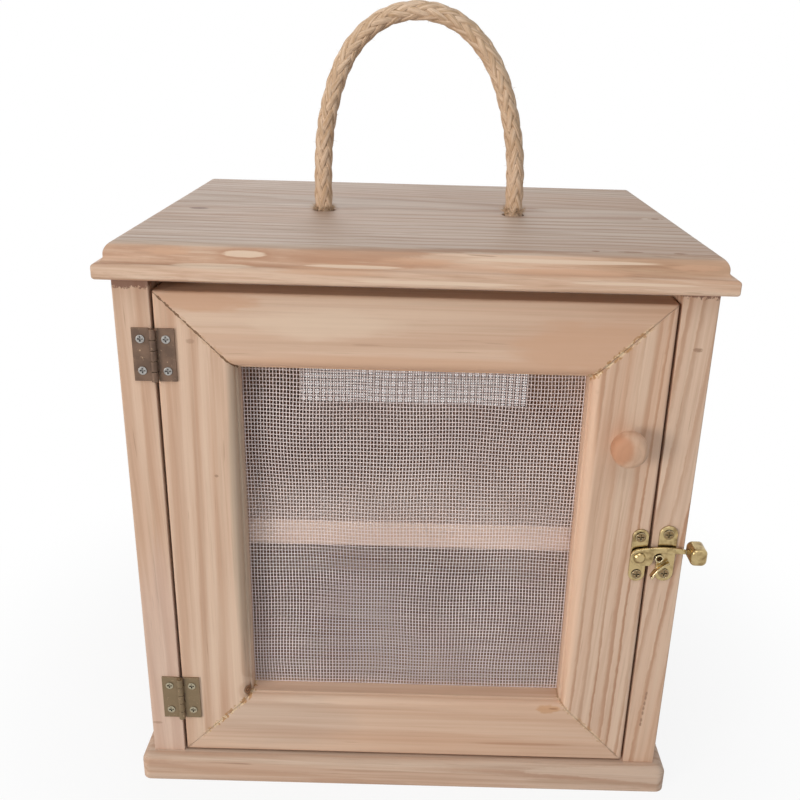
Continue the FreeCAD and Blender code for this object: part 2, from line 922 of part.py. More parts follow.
for hand, x, own in (
    ("left", -half_width, side_hinge_plugs),
    ("right", inner_half, keeper_plugs),
):
    blank = box(
        f"side_{hand}_blank",
        (x, y_front, z_floor),
        side_thickness,
        size("carcass_depth"),
        size("side_height"),
    )
    fasteners = [
        item
        for item in dowels + base_plugs + shelf_nails + back_nails
        if f"_{hand}" in item.Name
    ]
    keep(cut(f"side_{hand}_cut", blank, fasteners + own), f"side_{hand}")

shelf_front = y_front + size("door_thickness") + size("door_gap_behind")
shelf_blank = box(
    "ShelfBlank",
    (-inner_half, shelf_front, shelf_top - size("shelf_thickness")),
    inner_half * 2,
    back_front - shelf_front,
    size("shelf_thickness"),
)
keep(cut("Shelf", shelf_blank, shelf_nails), "shelf")

# Door stop: a strip glued under the top board, just behind the closed door.

door_stop = box(
    "DoorStopStrip",
    (-inner_half, shelf_front, z_ceiling - size("stop_height")),
    inner_half * 2,
    size("stop_depth"),
    size("stop_height"),
)
keep(door_stop, "stop_strip")

# Frames: four mitred members each, with a rebate behind for the screen and its beads.

rebate_width = size("rebate_width")
rebate_depth = size("rebate_depth")


def door_section():
    """The door member's section: rounded outer edge, moulded sight edge and rebate behind."""
    thickness = size("door_thickness")
    width = size("door_member_width")
    outer = size("door_round")
    sight = size("sight_round")
    quirk_edge = width - size("sight_quirk")
    return [
        (outer, 0),
        (thickness, 0),
        (thickness, width - rebate_width),
        (thickness - rebate_depth, width - rebate_width),
        (thickness - rebate_depth, width),
        (sight, width),
        (sight, quirk_edge, "left", sight),
        (0, quirk_edge - sight),
        (0, outer, "left", outer),
    ]


def back_section():
    """The back member's section: square, with the rebate on the outside."""
    thickness = size("back_member_thickness")
    width = size("back_member_width")
    return [
        (0, 0),
        (thickness, 0),
        (thickness, width - rebate_width),
        (thickness - rebate_depth, width - rebate_width),
        (thickness - rebate_depth, width),
        (0, width),
    ]


def mitred_member(name, section, length, width, at, turn):
    """A length of the section with both ends cut to forty-five degrees."""
    body = new_body(name)
    section_sketch = sketch_on(body, "YZ_Plane", name + "_section")
    outline(section_sketch, section)
    pad(body, section_sketch, length)
    mitres = sketch_on(body, "XZ_Plane", name + "_mitres")
    over = size("mitre_overrun")
    outline(mitres, [(-over, -over), (width + over, width + over), (-over, width + over)])
    outline(
        mitres,
        [
            (length + over, -over),
            (length + over, width + over),
            (length - width - over, width + over),
        ],
    )
    pocket_through(body, mitres)
    return place(body, at, turn)


def mitred_frame(prefix, section, member_width, left, right, bottom, top, y, drilled):
    """The four members of a frame, each under its own label."""
    tall = top - bottom
    wide = right - left
    members = (
        ("rail_bottom", wide, (left, y, bottom), None),
        ("stile_right", tall, (right, y, bottom), TO_LEFT),
        ("rail_top", wide, (right, y, top), UPSIDE_DOWN),
        ("stile_left", tall, (left, y, top), TO_RIGHT),
    )
    for member, length, at, turn in members:
        label = f"{prefix}_{member}"
        blank = mitred_member(label + "_blank", section, length, member_width, at, turn)
        plugs = drilled.get(member, [])
        keep(cut(label + "_cut", blank, plugs) if plugs else blank, label)


def screen(label, left, right, bottom, top, y):
    """A net: one sheet with rows of square gaps."""
    bar = size("screen_bar").value
    columns = int(size("screen_columns").value)
    rows = int(size("screen_rows").value)
    wide = (right - left).value
    tall = (top - bottom).value
    step_x = (wide - bar) / columns
    step_z = (tall - bar) / rows
    sheet_face = Part.makePlane(wide, tall)
    gaps = [
        Part.makePlane(
            step_x - bar,
            step_z - bar,
            FreeCAD.Vector(bar + step_x * column, bar + step_z * line, 0),
        )
        for column in range(columns)
        for line in range(rows)
    ]
    wires = [sheet_face.OuterWire] + [gap.OuterWire for gap in gaps]
    face = Part.Face(wires, "Part::FaceMakerBullseye")
    item = doc.addObject("Part::Feature", label + "_net")
    item.Shape = face.extrude(FreeCAD.Vector(0, 0, size("screen_thickness").value))
    place(item, (left, y + size("screen_thickness"), bottom), TO_FRONT)
    return keep(item, label)


def screen_and_beads(prefix, left, right, bottom, top, frame_back):
    """The screen in a frame's rebate, and the four beads that hold it there."""
    margin = size("screen_margin")
    seat = frame_back - rebate_depth
    screen(
        prefix + "_screen",
        left - rebate_width + margin,
        right + rebate_width - margin,
        bottom - rebate_width + margin,
        top + rebate_width - margin,
        seat,
    )
    bead_y = seat + size("screen_thickness")
    bead_depth = rebate_depth - size("screen_thickness")
    full = top - bottom + rebate_width * 2
    wide = right - left
    beads = (
        ("left", (left - rebate_width, bead_y, bottom - rebate_width), rebate_width, full),
        ("right", (right, bead_y, bottom - rebate_width), rebate_width, full),
        ("bottom", (left, bead_y, bottom - rebate_width), wide, rebate_width),
        ("top", (left, bead_y, top), wide, rebate_width),
    )
    for edge, at, length, height in beads:
        label = f"{prefix}_bead_{edge}"
        keep(box(label + "_strip", at, length, bead_depth, height), label)


door_member = size("door_member_width")
mitred_frame(
    "door",
    door_section(),
    door_member,
    door_left,
    door_right,
    door_bottom,
    door_top,
    y_front,
    {"stile_left": door_hinge_plugs, "stile_right": plate_plugs + [rivet, knob_plug]},
)
screen_and_beads(
    "door",
    door_left + door_member,
    door_right - door_member,
    door_bottom + door_member,
    door_top - door_member,
    y_front + size("door_thickness"),
)

back_member = size("back_member_width")
mitred_frame(
    "back",
    back_section(),
    back_member,
    -inner_half,
    inner_half,
    z_floor,
    z_ceiling,
    back_front,
    {
        "stile_left": [item for item in back_nails if "_left" in item.Name],
        "stile_right": [item for item in back_nails if "_right" in item.Name],
    },
)
screen_and_beads(
    "back",
    back_member - inner_half,
    inner_half - back_member,
    z_floor + back_member,
    z_ceiling - back_member,
    y_back,
)

# Rope: one arch that tips in its two holes on rounded ends, and a knotted end below each hole.
# The route's points are across and above the top board's face.

ROPE_ROUTE = [
    (-55.5, 0),
    (-56.3, 27),
    (-52.8, 57),
    (-43.3, 85),
    (-29, 101.2),
    (-12.5, 109),
    (6.5, 109.4),
    (25, 101.4),
    (42, 81.5),
    (51.5, 53),
    (56, 25),
    (55.5, 0),
]
BEND_SHARE = 0.45

rope_radius = size("rope_radius")


def rope_arch(points, radius):
    """A tube along straight runs joined by arcs that touch them, with a ball at each end."""
    edges = []
    start = points[0]
    for before, corner, after in zip(points, points[1:], points[2:]):
        run = BEND_SHARE * min((corner - before).Length, (after - corner).Length)
        incoming = (corner - before).normalize()
        outgoing = (after - corner).normalize()
        half_turn = incoming.getAngle(outgoing) / 2
        bend = run / math.tan(half_turn)
        print("rope bend radius", round(bend, 1))
        first = corner - incoming * run
        last = corner + outgoing * run
        inward = (outgoing - incoming).normalize()
        middle = corner + inward * (bend / math.cos(half_turn) - bend)
        edges.append(Part.LineSegment(start, first).toShape())
        edges.append(Part.Arc(first, middle, last).toShape())
        start = last
    edges.append(Part.LineSegment(start, points[-1]).toShape())
    spine = Part.Wire(edges)
    section = Part.Wire([Part.Circle(points[0], points[1] - points[0], radius).toShape()])
    tube = spine.makePipeShell([section], True, False)
    print("rope length", round(spine.Length, 1))
    print("tube volume over section times length", tube.Volume / (math.pi * radius**2 * spine.Length))
    for end in (points[0], points[-1]):
        tube = tube.fuse(Part.makeSphere(radius, end))
    return tube.removeSplitter()


route = [FreeCAD.Vector(across, 0, above) for across, above in ROPE_ROUTE]
rope = doc.addObject("Part::Feature", "RopeArch")
rope.Shape = rope_arch(route, rope_radius.value)
place(rope, (0, rope_y, z_top))
keep(rope, "rope_handle")

tail_top = size("top_thickness") - rope_radius - size("rope_seat_gap")
knot_height = size("knot_height")
for hand, across in (("left", -1), ("right", 1)):
    knot = turned(
        "Knot" + hand,
        [
            (0, -knot_height - size("rope_end_length")),
            (rope_radius, -knot_height - size("rope_end_length")),
            (rope_radius, -knot_height),
            (size("knot_bottom_radius"), -knot_height, "left", size("knot_bulge")),
            (size("knot_radius"), -knot_height / 2, "left", size("knot_bulge")),
            (size("knot_top_radius"), 0),
            (rope_radius, 0),
            (rope_radius, tail_top),
            (0, tail_top),
        ],
    )
    place(knot, (rope_half * across, rope_y, z_ceiling))
    keep(knot, "rope_knot_" + hand)

# Check every object and write one file for each sub-part.

doc.recompute()
for item in doc.Objects:
    if "Invalid" in item.State or "Error" in item.State:
        raise RuntimeError("not built: " + item.Label)
os.makedirs("parts", exist_ok=True)
for item in nodes:
    shape = item.Shape
    if shape.isNull() or not shape.isValid() or not shape.Solids:
        raise RuntimeError("no good solid: " + item.Label)
    shape.exportStep(os.path.join("parts", item.Label + ".step"))
print(len(nodes), "sub-parts written")
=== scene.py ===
import math

import bpy
import numpy as np
from mathutils import Matrix, Vector


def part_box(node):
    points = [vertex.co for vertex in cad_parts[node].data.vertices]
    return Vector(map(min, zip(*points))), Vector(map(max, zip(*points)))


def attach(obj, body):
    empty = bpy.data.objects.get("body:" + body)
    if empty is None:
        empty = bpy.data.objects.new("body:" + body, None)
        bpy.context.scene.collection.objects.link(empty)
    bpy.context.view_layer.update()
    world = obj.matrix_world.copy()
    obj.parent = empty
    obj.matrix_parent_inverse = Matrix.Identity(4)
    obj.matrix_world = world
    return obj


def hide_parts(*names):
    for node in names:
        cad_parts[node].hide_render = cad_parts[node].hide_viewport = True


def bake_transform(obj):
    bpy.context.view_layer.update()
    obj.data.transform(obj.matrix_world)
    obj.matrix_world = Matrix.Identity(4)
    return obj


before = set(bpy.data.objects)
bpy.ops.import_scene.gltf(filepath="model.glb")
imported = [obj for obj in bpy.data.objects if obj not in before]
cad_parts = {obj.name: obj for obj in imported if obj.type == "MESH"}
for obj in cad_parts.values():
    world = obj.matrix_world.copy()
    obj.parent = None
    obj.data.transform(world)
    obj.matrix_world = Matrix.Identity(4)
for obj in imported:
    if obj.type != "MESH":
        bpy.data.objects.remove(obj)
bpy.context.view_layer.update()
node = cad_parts


# The case boards: base, two sides, shelf, top and the stop strip under it.
# Planed and sanded pine, left raw, so the growth rings, the fibres and small knots all show.
# The sides stand on the base, the shelf is nailed between them and the top sits on dowels.

PALE_PINE = (0.690, 0.485, 0.355)
LATE_PINE = (0.420, 0.212, 0.120)
BLUSH_PINE = (0.615, 0.370, 0.240)
CREAM_PINE = (0.740, 0.560, 0.420)
SHADE_PINE = (0.440, 0.280, 0.190)
FLECK_PINE = (0.280, 0.140, 0.075)
KNOT_PINE = (0.140, 0.062, 0.030)
KNOT_RING_PINE = (0.360, 0.175, 0.085)
DENT_PINE = (0.330, 0.190, 0.120)
# Painted shade, for the gap between a side board and the top.
GAP_SHADE_PINE = (0.190, 0.085, 0.055)
EDGE_PINE = (0.720, 0.540, 0.415)
# Divided into a colour, it paints light onto a shaded surface.
PAINTED_LIGHT_LIFT = (0.750, 0.647, 0.563)
# Grey wear, and on the top board's upper face painted shade.
GREY_WEAR_AND_TOP_SHADE = (0.800, 0.860, 0.930)
WARM_DARKER = (0.780, 0.715, 0.645)
GREYED_PINE = (0.690, 0.530, 0.475)
EDGE_ROUND = 0.0010
PINE_RELIEF = 0.00016


class Finish:
    """One material, built up a step at a time."""

    def __init__(self, name):
        self.material = bpy.data.materials.new(name)
        self.material.use_nodes = True
        self.tree = self.material.node_tree
        self.shader = self.tree.nodes["Principled BSDF"]

    def feed(self, socket, value):
        if isinstance(value, bpy.types.NodeSocket):
            self.tree.links.new(value, socket)
        elif hasattr(value, "__len__") and len(value) == 3 and socket.type == "RGBA":
            socket.default_value = (*value, 1)
        else:
            socket.default_value = value

    def step(self, kind, inputs, **settings):
        made = self.tree.nodes.new("ShaderNode" + kind)
        for key, value in settings.items():
            setattr(made, key, value)
        for key, value in inputs.items():
            self.feed(made.inputs[key], value)
        return made

    def math(self, operation, first, second=0.0, third=0.0):
        return self.step("Math", {0: first, 1: second, 2: third}, operation=operation).outputs[0]

    def jitter(self, value, noise, amount):
        """The value moved up or down by a noise, by half of amount at most."""
        return self.math("MULTIPLY_ADD", self.math("SUBTRACT", noise, 0.5), amount, value)

    def mix(self, share, under, over, blend="MIX"):
        made = self.step("Mix", {0: share, 6: under, 7: over}, data_type="RGBA", blend_type=blend)
        return made.outputs[2]

    def range(self, value, low, high, to_low=0.0, to_high=1.0, smooth=True):
        made = self.step(
            "MapRange",
            {0: value, 1: low, 2: high, 3: to_low, 4: to_high},
            interpolation_type="SMOOTHSTEP" if smooth else "LINEAR",
        )
        return made.outputs[0]

    def place(self):
        return self.step("TexCoord", {}).outputs["Object"]

    def split(self, vector):
        return self.step("SeparateXYZ", {0: vector}).outputs

    def join(self, x, y, z):
        return self.step("CombineXYZ", {0: x, 1: y, 2: z}).outputs[0]

    def scaled(self, vector, factors, shift=(0, 0, 0)):
        made = self.step("Mapping", {"Vector": vector, "Scale": factors, "Location": shift})
        return made.outputs[0]

    def noise(self, vector, scale=1.0, detail=2.0, roughness=0.5):
        made = self.step(
            "TexNoise", {"Vector": vector, "Scale": scale, "Detail": detail, "Roughness": roughness}
        )
        return made.outputs

    def bump(self, height, depth, strength=1.0, normal=None):
        inputs = {"Height": height, "Distance": depth, "Strength": strength}
        if normal is not None:
            inputs["Normal"] = normal
        return self.step("Bump", inputs).outputs[0]

    def soft_edge(self, radius):
        """The normal with edges rounded by radius, and how near an outer edge a point is."""
        rounded = self.step("Bevel", {"Radius": radius}, samples=4).outputs[0]
        flat = self.step("NewGeometry", {}).outputs["Normal"]
        turned = self.step("VectorMath", {0: rounded, 1: flat}, operation="DOT_PRODUCT").outputs["Value"]
        return rounded, self.range(turned, 0.995, 0.75)

    def hollow(self, reach):
        """How deep in a hollow a point lies: 0 in the open and 1 where little light gets in."""
        free = self.step("AmbientOcclusion", {"Distance": reach}, samples=6).outputs["AO"]
        return self.range(free, 0.80, 0.30)

    def shine(self, **sockets):
        for key, value in sockets.items():
            self.feed(self.shader.inputs[key.replace("_", " ")], value)
        return self.material


def dress(finish, *names):
    for name in names:
        slots = node[name].data.materials
        slots.clear()
        slots.append(finish)


class Pine(Finish):
    """Pine sawn with its rings about the line through pith and its fibres along grain.

    late is how strong the dark late wood is, and early the pale share of each ring. wander and feather
    bend and fray the rings. blush, fine and figure are how strong the clouds, the fibres and the thin
    lines are. A knot has the axis of its branch, its centre and its size.
    """

    ALONG = {"X": (1, 2, 0), "Z": (0, 1, 2)}
    KNOT_STRETCH = 0.6
    KNOT_RINGS = 14
    KNOT_SWEEP = 1.6

    def __init__(
        self, name, grain, pith, ring_gap, seed,
        lean=(0, 0), taper=0.03, late=1.0, early=0.5, wander=0.006, feather=0.0007, blush=0.5, fine=1.0,
        figure=0.20, knots=(),
    ):
        super().__init__(name)
        self.grain = grain
        self.spot = self.place()
        self.at = self.split(self.spot)
        self.shift = (seed * 1.7, seed * 2.3, seed * 3.1)
        away = self.split(self.scaled(self.spot, (1, 1, 1), tuple(-p for p in pith)))
        side, deep, along = (away[axis] for axis in self.ALONG[grain])
        side = self.math("MULTIPLY_ADD", along, lean[0], side)
        deep = self.math("MULTIPLY_ADD", along, lean[1], deep)
        log = self.join(side, deep, along)
        radius = self.ring_radius(log, side, deep, along, taper, wander, feather)

        self.knot_share = 0.0
        self.knot_colour = KNOT_PINE
        for branch, centre, size in knots:
            radius = self.knot(branch, centre, size, ring_gap, radius)
        late_wood = self.late_wood(radius, ring_gap, seed, late, early)
        self.tone(log, late_wood, blush, fine, figure)

    def drawn_out(self, log, across, along, **settings):
        """Noise drawn out along the fibres, with its rates across and along them in waves a metre."""
        return self.noise(self.scaled(log, (across, across, along), self.shift), **settings)

    def ring_radius(self, log, side, deep, along, taper, wander, feather):
        wave = self.split(self.drawn_out(log, across=9, along=5, detail=3)["Color"])
        side = self.jitter(side, wave[0], wander)
        deep = self.jitter(deep, wave[1], wander)
        square = self.math("MULTIPLY_ADD", side, side, self.math("MULTIPLY", deep, deep))
        radius = self.math("MULTIPLY_ADD", along, taper, self.math("SQRT", square))
        torn = self.drawn_out(log, across=420, along=110, detail=3, roughness=0.7)[0]
        return self.jitter(radius, torn, feather)

    def knot(self, branch, centre, size, ring_gap, radius):
        """A branch cut through at centre: dark wood, with the rings swept round it."""
        off = [self.math("SUBTRACT", self.at[i], centre[i]) for i in range(3)]
        lengthwise = self.math("MULTIPLY", off["XYZ".index(self.grain)], self.KNOT_STRETCH)
        across = off[next(i for i in range(3) if "XYZ"[i] not in (self.grain, branch))]
        spread = self.math("MULTIPLY_ADD", lengthwise, lengthwise, self.math("MULTIPLY", across, across))
        ragged = self.noise(self.scaled(self.spot, (260, 260, 260), self.shift))[0]
        reach = self.jitter(self.math("SQRT", spread), ragged, size * 0.9)
        share = self.range(reach, size * 1.15, size * 0.6)
        rings = self.range(self.math("SINE", self.math("MULTIPLY", reach, self.KNOT_RINGS / size)), -1, 1)
        self.knot_colour = self.mix(share, self.knot_colour, self.mix(rings, KNOT_PINE, KNOT_RING_PINE))
        self.knot_share = self.math("MAXIMUM", self.knot_share, share)
        swell = self.math("EXPONENT", self.math("MULTIPLY", spread, -0.25 / size ** 2))
        return self.math("MULTIPLY_ADD", swell, ring_gap * self.KNOT_SWEEP, radius)

    def late_wood(self, radius, ring_gap, seed, late, early):
        """How much dark late wood there is: it builds up through each year and then stops short."""
        rate = self.math("MULTIPLY", radius, 1 / ring_gap)
        uneven = self.noise(self.join(self.math("MULTIPLY", rate, 0.6), seed, 0.0), detail=1)[0]
        count = self.math("MULTIPLY_ADD", uneven, 0.9, rate)
        growth = self.math("FRACT", count)
        year = self.step("TexWhiteNoise", {"W": self.math("FLOOR", count)}, noise_dimensions="1D").outputs[0]
        rising = self.range(growth, early, early + 0.6 * (1 - early))
        falling = self.range(growth, 1.0, 1 - 0.25 * (1 - early))
        strength = self.range(year, 0.0, 1.0, 0.55 * late, late, smooth=False)
        return self.math("MULTIPLY", self.math("MULTIPLY", rising, falling), strength)

    def tone(self, log, late_wood, blush, fine, figure):
        fibre = self.drawn_out(log, across=900, along=16, detail=4, roughness=0.65)[0]
        streak = self.drawn_out(log, across=190, along=4, detail=3, roughness=0.6)[0]
        band = self.drawn_out(log, across=85, along=2, roughness=0.6)[0]
        thin = self.drawn_out(log, across=420, along=6, roughness=0.6)[0]
        cloud = self.drawn_out(log, across=16, along=5)[0]
        fleck = self.drawn_out(log, across=620, along=30, detail=1)[0]
        self.colour = self.mix(late_wood, PALE_PINE, LATE_PINE)
        for noise, none_at, full_at, share, pine in (
            (cloud, 0.40, 0.72, blush, BLUSH_PINE),
            (cloud, 0.42, 0.25, 0.50 * blush, CREAM_PINE),
            (band, 0.52, 0.72, 0.45 * fine, BLUSH_PINE),
            (band, 0.46, 0.28, 0.55 * fine, CREAM_PINE),
            (thin, 0.50, 0.64, 0.70 * figure, LATE_PINE),
            (thin, 0.46, 0.34, figure, CREAM_PINE),
            (streak, 0.45, 0.75, 0.30 * fine, SHADE_PINE),
            (fibre, 0.50, 0.80, 0.38 * fine, SHADE_PINE),
            (fleck, 0.70, 0.80, 0.35 * fine, FLECK_PINE),
        ):
            self.colour = self.mix(self.range(noise, none_at, full_at, 0.0, share), self.colour, pine)
        self.fibre = fibre
        self.relief = self.math("MULTIPLY_ADD", late_wood, 0.6, fibre)

    def patch(self, centre, half, colour, share=1.0, ragged=1.0, blend="MIX", fade=0.9):
        """A stain, scuff or pale streak of another colour, with an uneven edge that fades out."""
        square = 0.0
        for i in range(3):
            part = self.math("MULTIPLY", self.math("SUBTRACT", self.at[i], centre[i]), 1 / half[i])
            square = self.math("MULTIPLY_ADD", part, part, square)
        uneven = self.noise(self.scaled(self.spot, tuple(2.2 / h for h in half), self.shift), detail=4)[0]
        reach = self.jitter(square, uneven, ragged)
        self.colour = self.mix(self.range(reach, 1.2, 1.2 - fade, 0.0, share), self.colour, colour, blend)

    def done(self):
        rounded, edge = self.soft_edge(EDGE_ROUND)
        colour = self.mix(self.math("MULTIPLY", edge, 0.30), self.colour, EDGE_PINE)
        if self.knot_share != 0.0:
            colour = self.mix(self.knot_share, colour, self.knot_colour)
        normal = self.bump(self.relief, PINE_RELIEF, 0.55, rounded)
        rough = self.range(self.fibre, 0.3, 0.7, 0.52, 0.74)
        return self.shine(Base_Color=colour, Roughness=rough, Normal=normal, Specular_IOR_Level=0.35)


SIDE_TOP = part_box("side_left")[1].z
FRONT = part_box("side_left")[0].y
GAP_SHADE_ENDS = FRONT + 0.012
GAP_SHADE_FULL = FRONT + 0.003
GAP_SHADE_EDGE = (0.0005, -0.0004)


def shaded_end(board, least, most):
    """Painted shade: a ragged dark band under the top, at the upper front corner of a side board, where the
    gap under the top is in shadow.
    """
    jag = board.noise(board.scaled(board.spot, (700, 700, 500), board.shift), detail=4, roughness=0.7)[0]
    below = board.math("SUBTRACT", SIDE_TOP, board.at[2])
    edge = board.range(jag, 0.30, 0.70, least, most)
    share = board.range(board.math("SUBTRACT", below, edge), *GAP_SHADE_EDGE, 0.0, 0.85)
    share = board.math("MULTIPLY", share, board.range(board.at[1], GAP_SHADE_ENDS, GAP_SHADE_FULL))
    board.colour = board.mix(share, board.colour, GAP_SHADE_PINE)


ALL_OVER = (0.40, 0.30, 0.05)
ALONG_FRONT = (0.40, 0.03, 0.03)

base_board = Pine(
    "pine_base", "X", pith=(0, 0.02, -0.045), ring_gap=0.0052, seed=1.0, lean=(0.01, 0.012), late=0.75,
    feather=0.0012, fine=1.5, figure=0.35,
)
# Grey wear all over, and two darker streaks along the front edge.
BASE_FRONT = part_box("base_board")[0].y
base_board.patch((0, 0, 0), ALL_OVER, GREY_WEAR_AND_TOP_SHADE, 0.5, blend="MULTIPLY")
base_board.patch((0.105, BASE_FRONT, 0.006), (0.0400, 0.006, 0.0016), SHADE_PINE, 0.6, ragged=2.0)
base_board.patch((-0.020, BASE_FRONT, 0.010), (0.0300, 0.006, 0.0010), SHADE_PINE, 0.5, ragged=2.0)
dress(base_board.done(), "base_board")

side_left = Pine(
    "pine_side_left", "Z", pith=(-0.085, -0.06, 0), ring_gap=0.0072, seed=2.0, lean=(0.035, 0.01), late=0.55,
    early=0.3,
)
# Greyed wood low down on the front edge, a dent in it, and painted shade in the gap under the top.
side_left.patch((-0.141, FRONT, 0.060), (0.0200, 0.010, 0.1000), GREYED_PINE, 0.3, ragged=0.8)
side_left.patch((-0.147, FRONT, 0.036), (0.0030, 0.004, 0.0010), DENT_PINE, 0.5, ragged=1.6)
shaded_end(side_left, least=0.0042, most=0.0066)
dress(side_left.done(), "side_left")

side_right = Pine(
    "pine_side_right", "Z", pith=(0.205, -0.03, 0), ring_gap=0.0056, seed=3.0, lean=(-0.045, 0.01), late=0.85,
    feather=0.0016,
)
# A dent high up on the front edge, a row of small ones low down, and painted shade in the gap under the top.
side_right.patch((0.1425, FRONT, 0.2760), (0.0028, 0.004, 0.0012), DENT_PINE, 0.8, ragged=2.0)
DENTS_TOP = 0.066
DENTS_LEAN = 0.05
for drop in (0.0, 0.003, 0.007, 0.0105, 0.014, 0.019, 0.022):
    dent = (0.1405 - DENTS_LEAN * drop, FRONT, DENTS_TOP - drop)
    side_right.patch(dent, (0.0007, 0.004, 0.0016), DENT_PINE, 0.85, ragged=2.2)
shaded_end(side_right, least=0.0018, most=0.0046)
dress(side_right.done(), "side_right")

shelf = Pine("pine_shelf", "X", pith=(0, 0.03, 0.23), ring_gap=0.0055, seed=4.0, late=0.3)
# Painted light: paler all over, and more so at the front, standing in for light on the shaded shelf.
SHELF_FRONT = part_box("shelf")[0].y
shelf.patch((0, 0, 0.156), ALL_OVER, PAINTED_LIGHT_LIFT, 0.35, blend="DIVIDE")
shelf.patch((0, SHELF_FRONT, 0.156), ALONG_FRONT, PAINTED_LIGHT_LIFT, 0.40, blend="DIVIDE")
dress(shelf.done(), "shelf")

stop_strip = Pine("pine_stop", "X", pith=(0, -0.12, 0.27), ring_gap=0.0055, seed=15.0, late=0.7)
# Painted light: the whole strip paler, standing in for light in the shaded slot over the door.
stop_strip.patch((0, SHELF_FRONT, 0.300), ALONG_FRONT, PAINTED_LIGHT_LIFT, blend="DIVIDE")
dress(stop_strip.done(), "stop_strip")
dress(Pine("pine_dowel", "Z", pith=(0.02, 0.03, 0), ring_gap=0.0030, seed=16.0).done(), "top_dowels")

TOP_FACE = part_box("top_board")[1].z
top_board = Pine(
    "pine_top", "X", pith=(0, 0.015, 0.275), ring_gap=0.0080, seed=5.0, lean=(0.05, 0.012), taper=0.045,
    late=0.8, early=0.42, wander=0.018, feather=0.0014, fine=1.35, figure=0.45,
    knots=[("Z", (0.1388, -0.0102, TOP_FACE), 0.0017)],
)
# Painted shade: the upper face greyer and darker, as the light on it is cooler and weaker than on the front.
# A darker right end of the front moulding.
top_board.patch((0, 0, TOP_FACE), (0.40, 0.30, 0.0022), GREY_WEAR_AND_TOP_SHADE, blend="MULTIPLY")
top_board.patch((0.122, -0.115, 0.3180), (0.050, 0.010, 0.0055), WARM_DARKER, ragged=0.8, blend="MULTIPLY")
# Reddish bands along the front moulding.
for across, deep, level, long in (
    (-0.040, -0.1200, 0.3130, 0.0330),
    (-0.120, -0.1150, 0.3200, 0.0140),
    (0.000, -0.1150, 0.3180, 0.0250),
    (0.075, -0.1190, 0.3145, 0.0350),
    (0.135, -0.1150, 0.3185, 0.0160),
):
    top_board.patch((across, deep, level), (long, 0.0060, 0.0022), BLUSH_PINE, 0.8, ragged=1.3)
# A pale oval with a dark rim on the front moulding, and pale streaks.
PALE_OVAL = (-0.083, -0.1150, 0.3194)
top_board.patch(PALE_OVAL, (0.0150, 0.0060, 0.0027), LATE_PINE, 0.45, ragged=0.9, fade=0.5)
for place, long, tall in (
    (PALE_OVAL, 0.0120, 0.0018),
    ((-0.098, -0.1190, 0.3140), 0.0200, 0.0008),
    ((-0.030, -0.1190, 0.3150), 0.0240, 0.0007),
    ((0.070, -0.1150, 0.3198), 0.0520, 0.0011),
    ((0.105, -0.1210, 0.3110), 0.0320, 0.0008),
    ((0.010, -0.1220, 0.3090), 0.0400, 0.0009),
):
    top_board.patch(place, (long, 0.0060, tall), CREAM_PINE, 0.9, ragged=0.7, fade=0.5)
# A dark knot on the upper face, and three marks near its front edge.
top_board.patch((-0.1277, -0.015, TOP_FACE), (0.0060, 0.0032, 0.004), KNOT_PINE, 0.95, ragged=0.6)
for across, deep, long in ((0.0870, -0.1105, 0.0022), (0.104, -0.1105, 0.0065), (0.128, -0.111, 0.0036)):
    top_board.patch((across, deep, TOP_FACE), (long, 0.0016, 0.004), FLECK_PINE, 0.9, ragged=1.6)
dress(top_board.done(), "top_board")


# The back frame: two stiles and two rails of the same pine, mitred at the corners.
# It is nailed in between the sides and carries the back screen in a rebate.

MITRE_GAPE = 0.00050
CHIP_REACH = 0.0026
CHIP_SOLID = 0.0010
CHIP_RAGGED = 0.006
CHIPS_START = 0.008
CHIPS_FULL = 0.017
CHIP_PINE = (0.850, 0.640, 0.400)
TORN_AND_SHADOW_PINE = (0.450, 0.235, 0.100)
SEAM_PINE = (0.190, 0.080, 0.032)


def mitred(board, panel, side, level, dark, chips):
    """The line of one mitre: dark where it gapes, with pale torn chips along its inner part, mottled with
    dark torn wood and painted shadow.
    """
    low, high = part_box(f"{panel}_stile_{side}")
    corner_x = low.x if side == "left" else high.x
    corner_z = high.z if level == "top" else low.z
    way = 1.0 if (side == "left") == (level == "top") else -1.0
    across = board.math("SUBTRACT", board.at[0], corner_x)
    up = board.math("SUBTRACT", board.at[2], corner_z)
    off = board.math("ABSOLUTE", board.math("MULTIPLY_ADD", up, way, across))
    ragged = board.noise(board.spot, scale=420, detail=3)[0]
    torn = board.noise(board.spot, scale=240, detail=4, roughness=0.7)[0]
    near = board.range(board.jitter(off, ragged, CHIP_RAGGED), CHIP_REACH, CHIP_SOLID, 0.0, chips)
    inner = board.range(board.math("ABSOLUTE", across), CHIPS_START, CHIPS_FULL)
    chip = board.math("MULTIPLY", board.range(torn, 0.40, 0.46), board.math("MULTIPLY", near, inner))
    # The dark part of the chips is torn wood and painted shadow beside them.
    chip_and_shadow_colour = board.mix(board.range(ragged, 0.44, 0.54), TORN_AND_SHADOW_PINE, CHIP_PINE)
    board.colour = board.mix(chip, board.colour, chip_and_shadow_colour)
    gape = board.range(ragged, 0.30, 0.70, 0.10 * MITRE_GAPE, 2.2 * MITRE_GAPE)
    broken = board.range(board.noise(board.spot, scale=70)[0], 0.40, 0.55, dark ** 2, dark)
    line = board.math("MULTIPLY", board.math("LESS_THAN", off, gape), broken)
    board.colour = board.mix(line, board.colour, SEAM_PINE)
    sunk = board.math("MULTIPLY_ADD", chip, -1.5, board.math("MULTIPLY", line, -3.0))
    board.relief = board.math("ADD", board.relief, sunk)


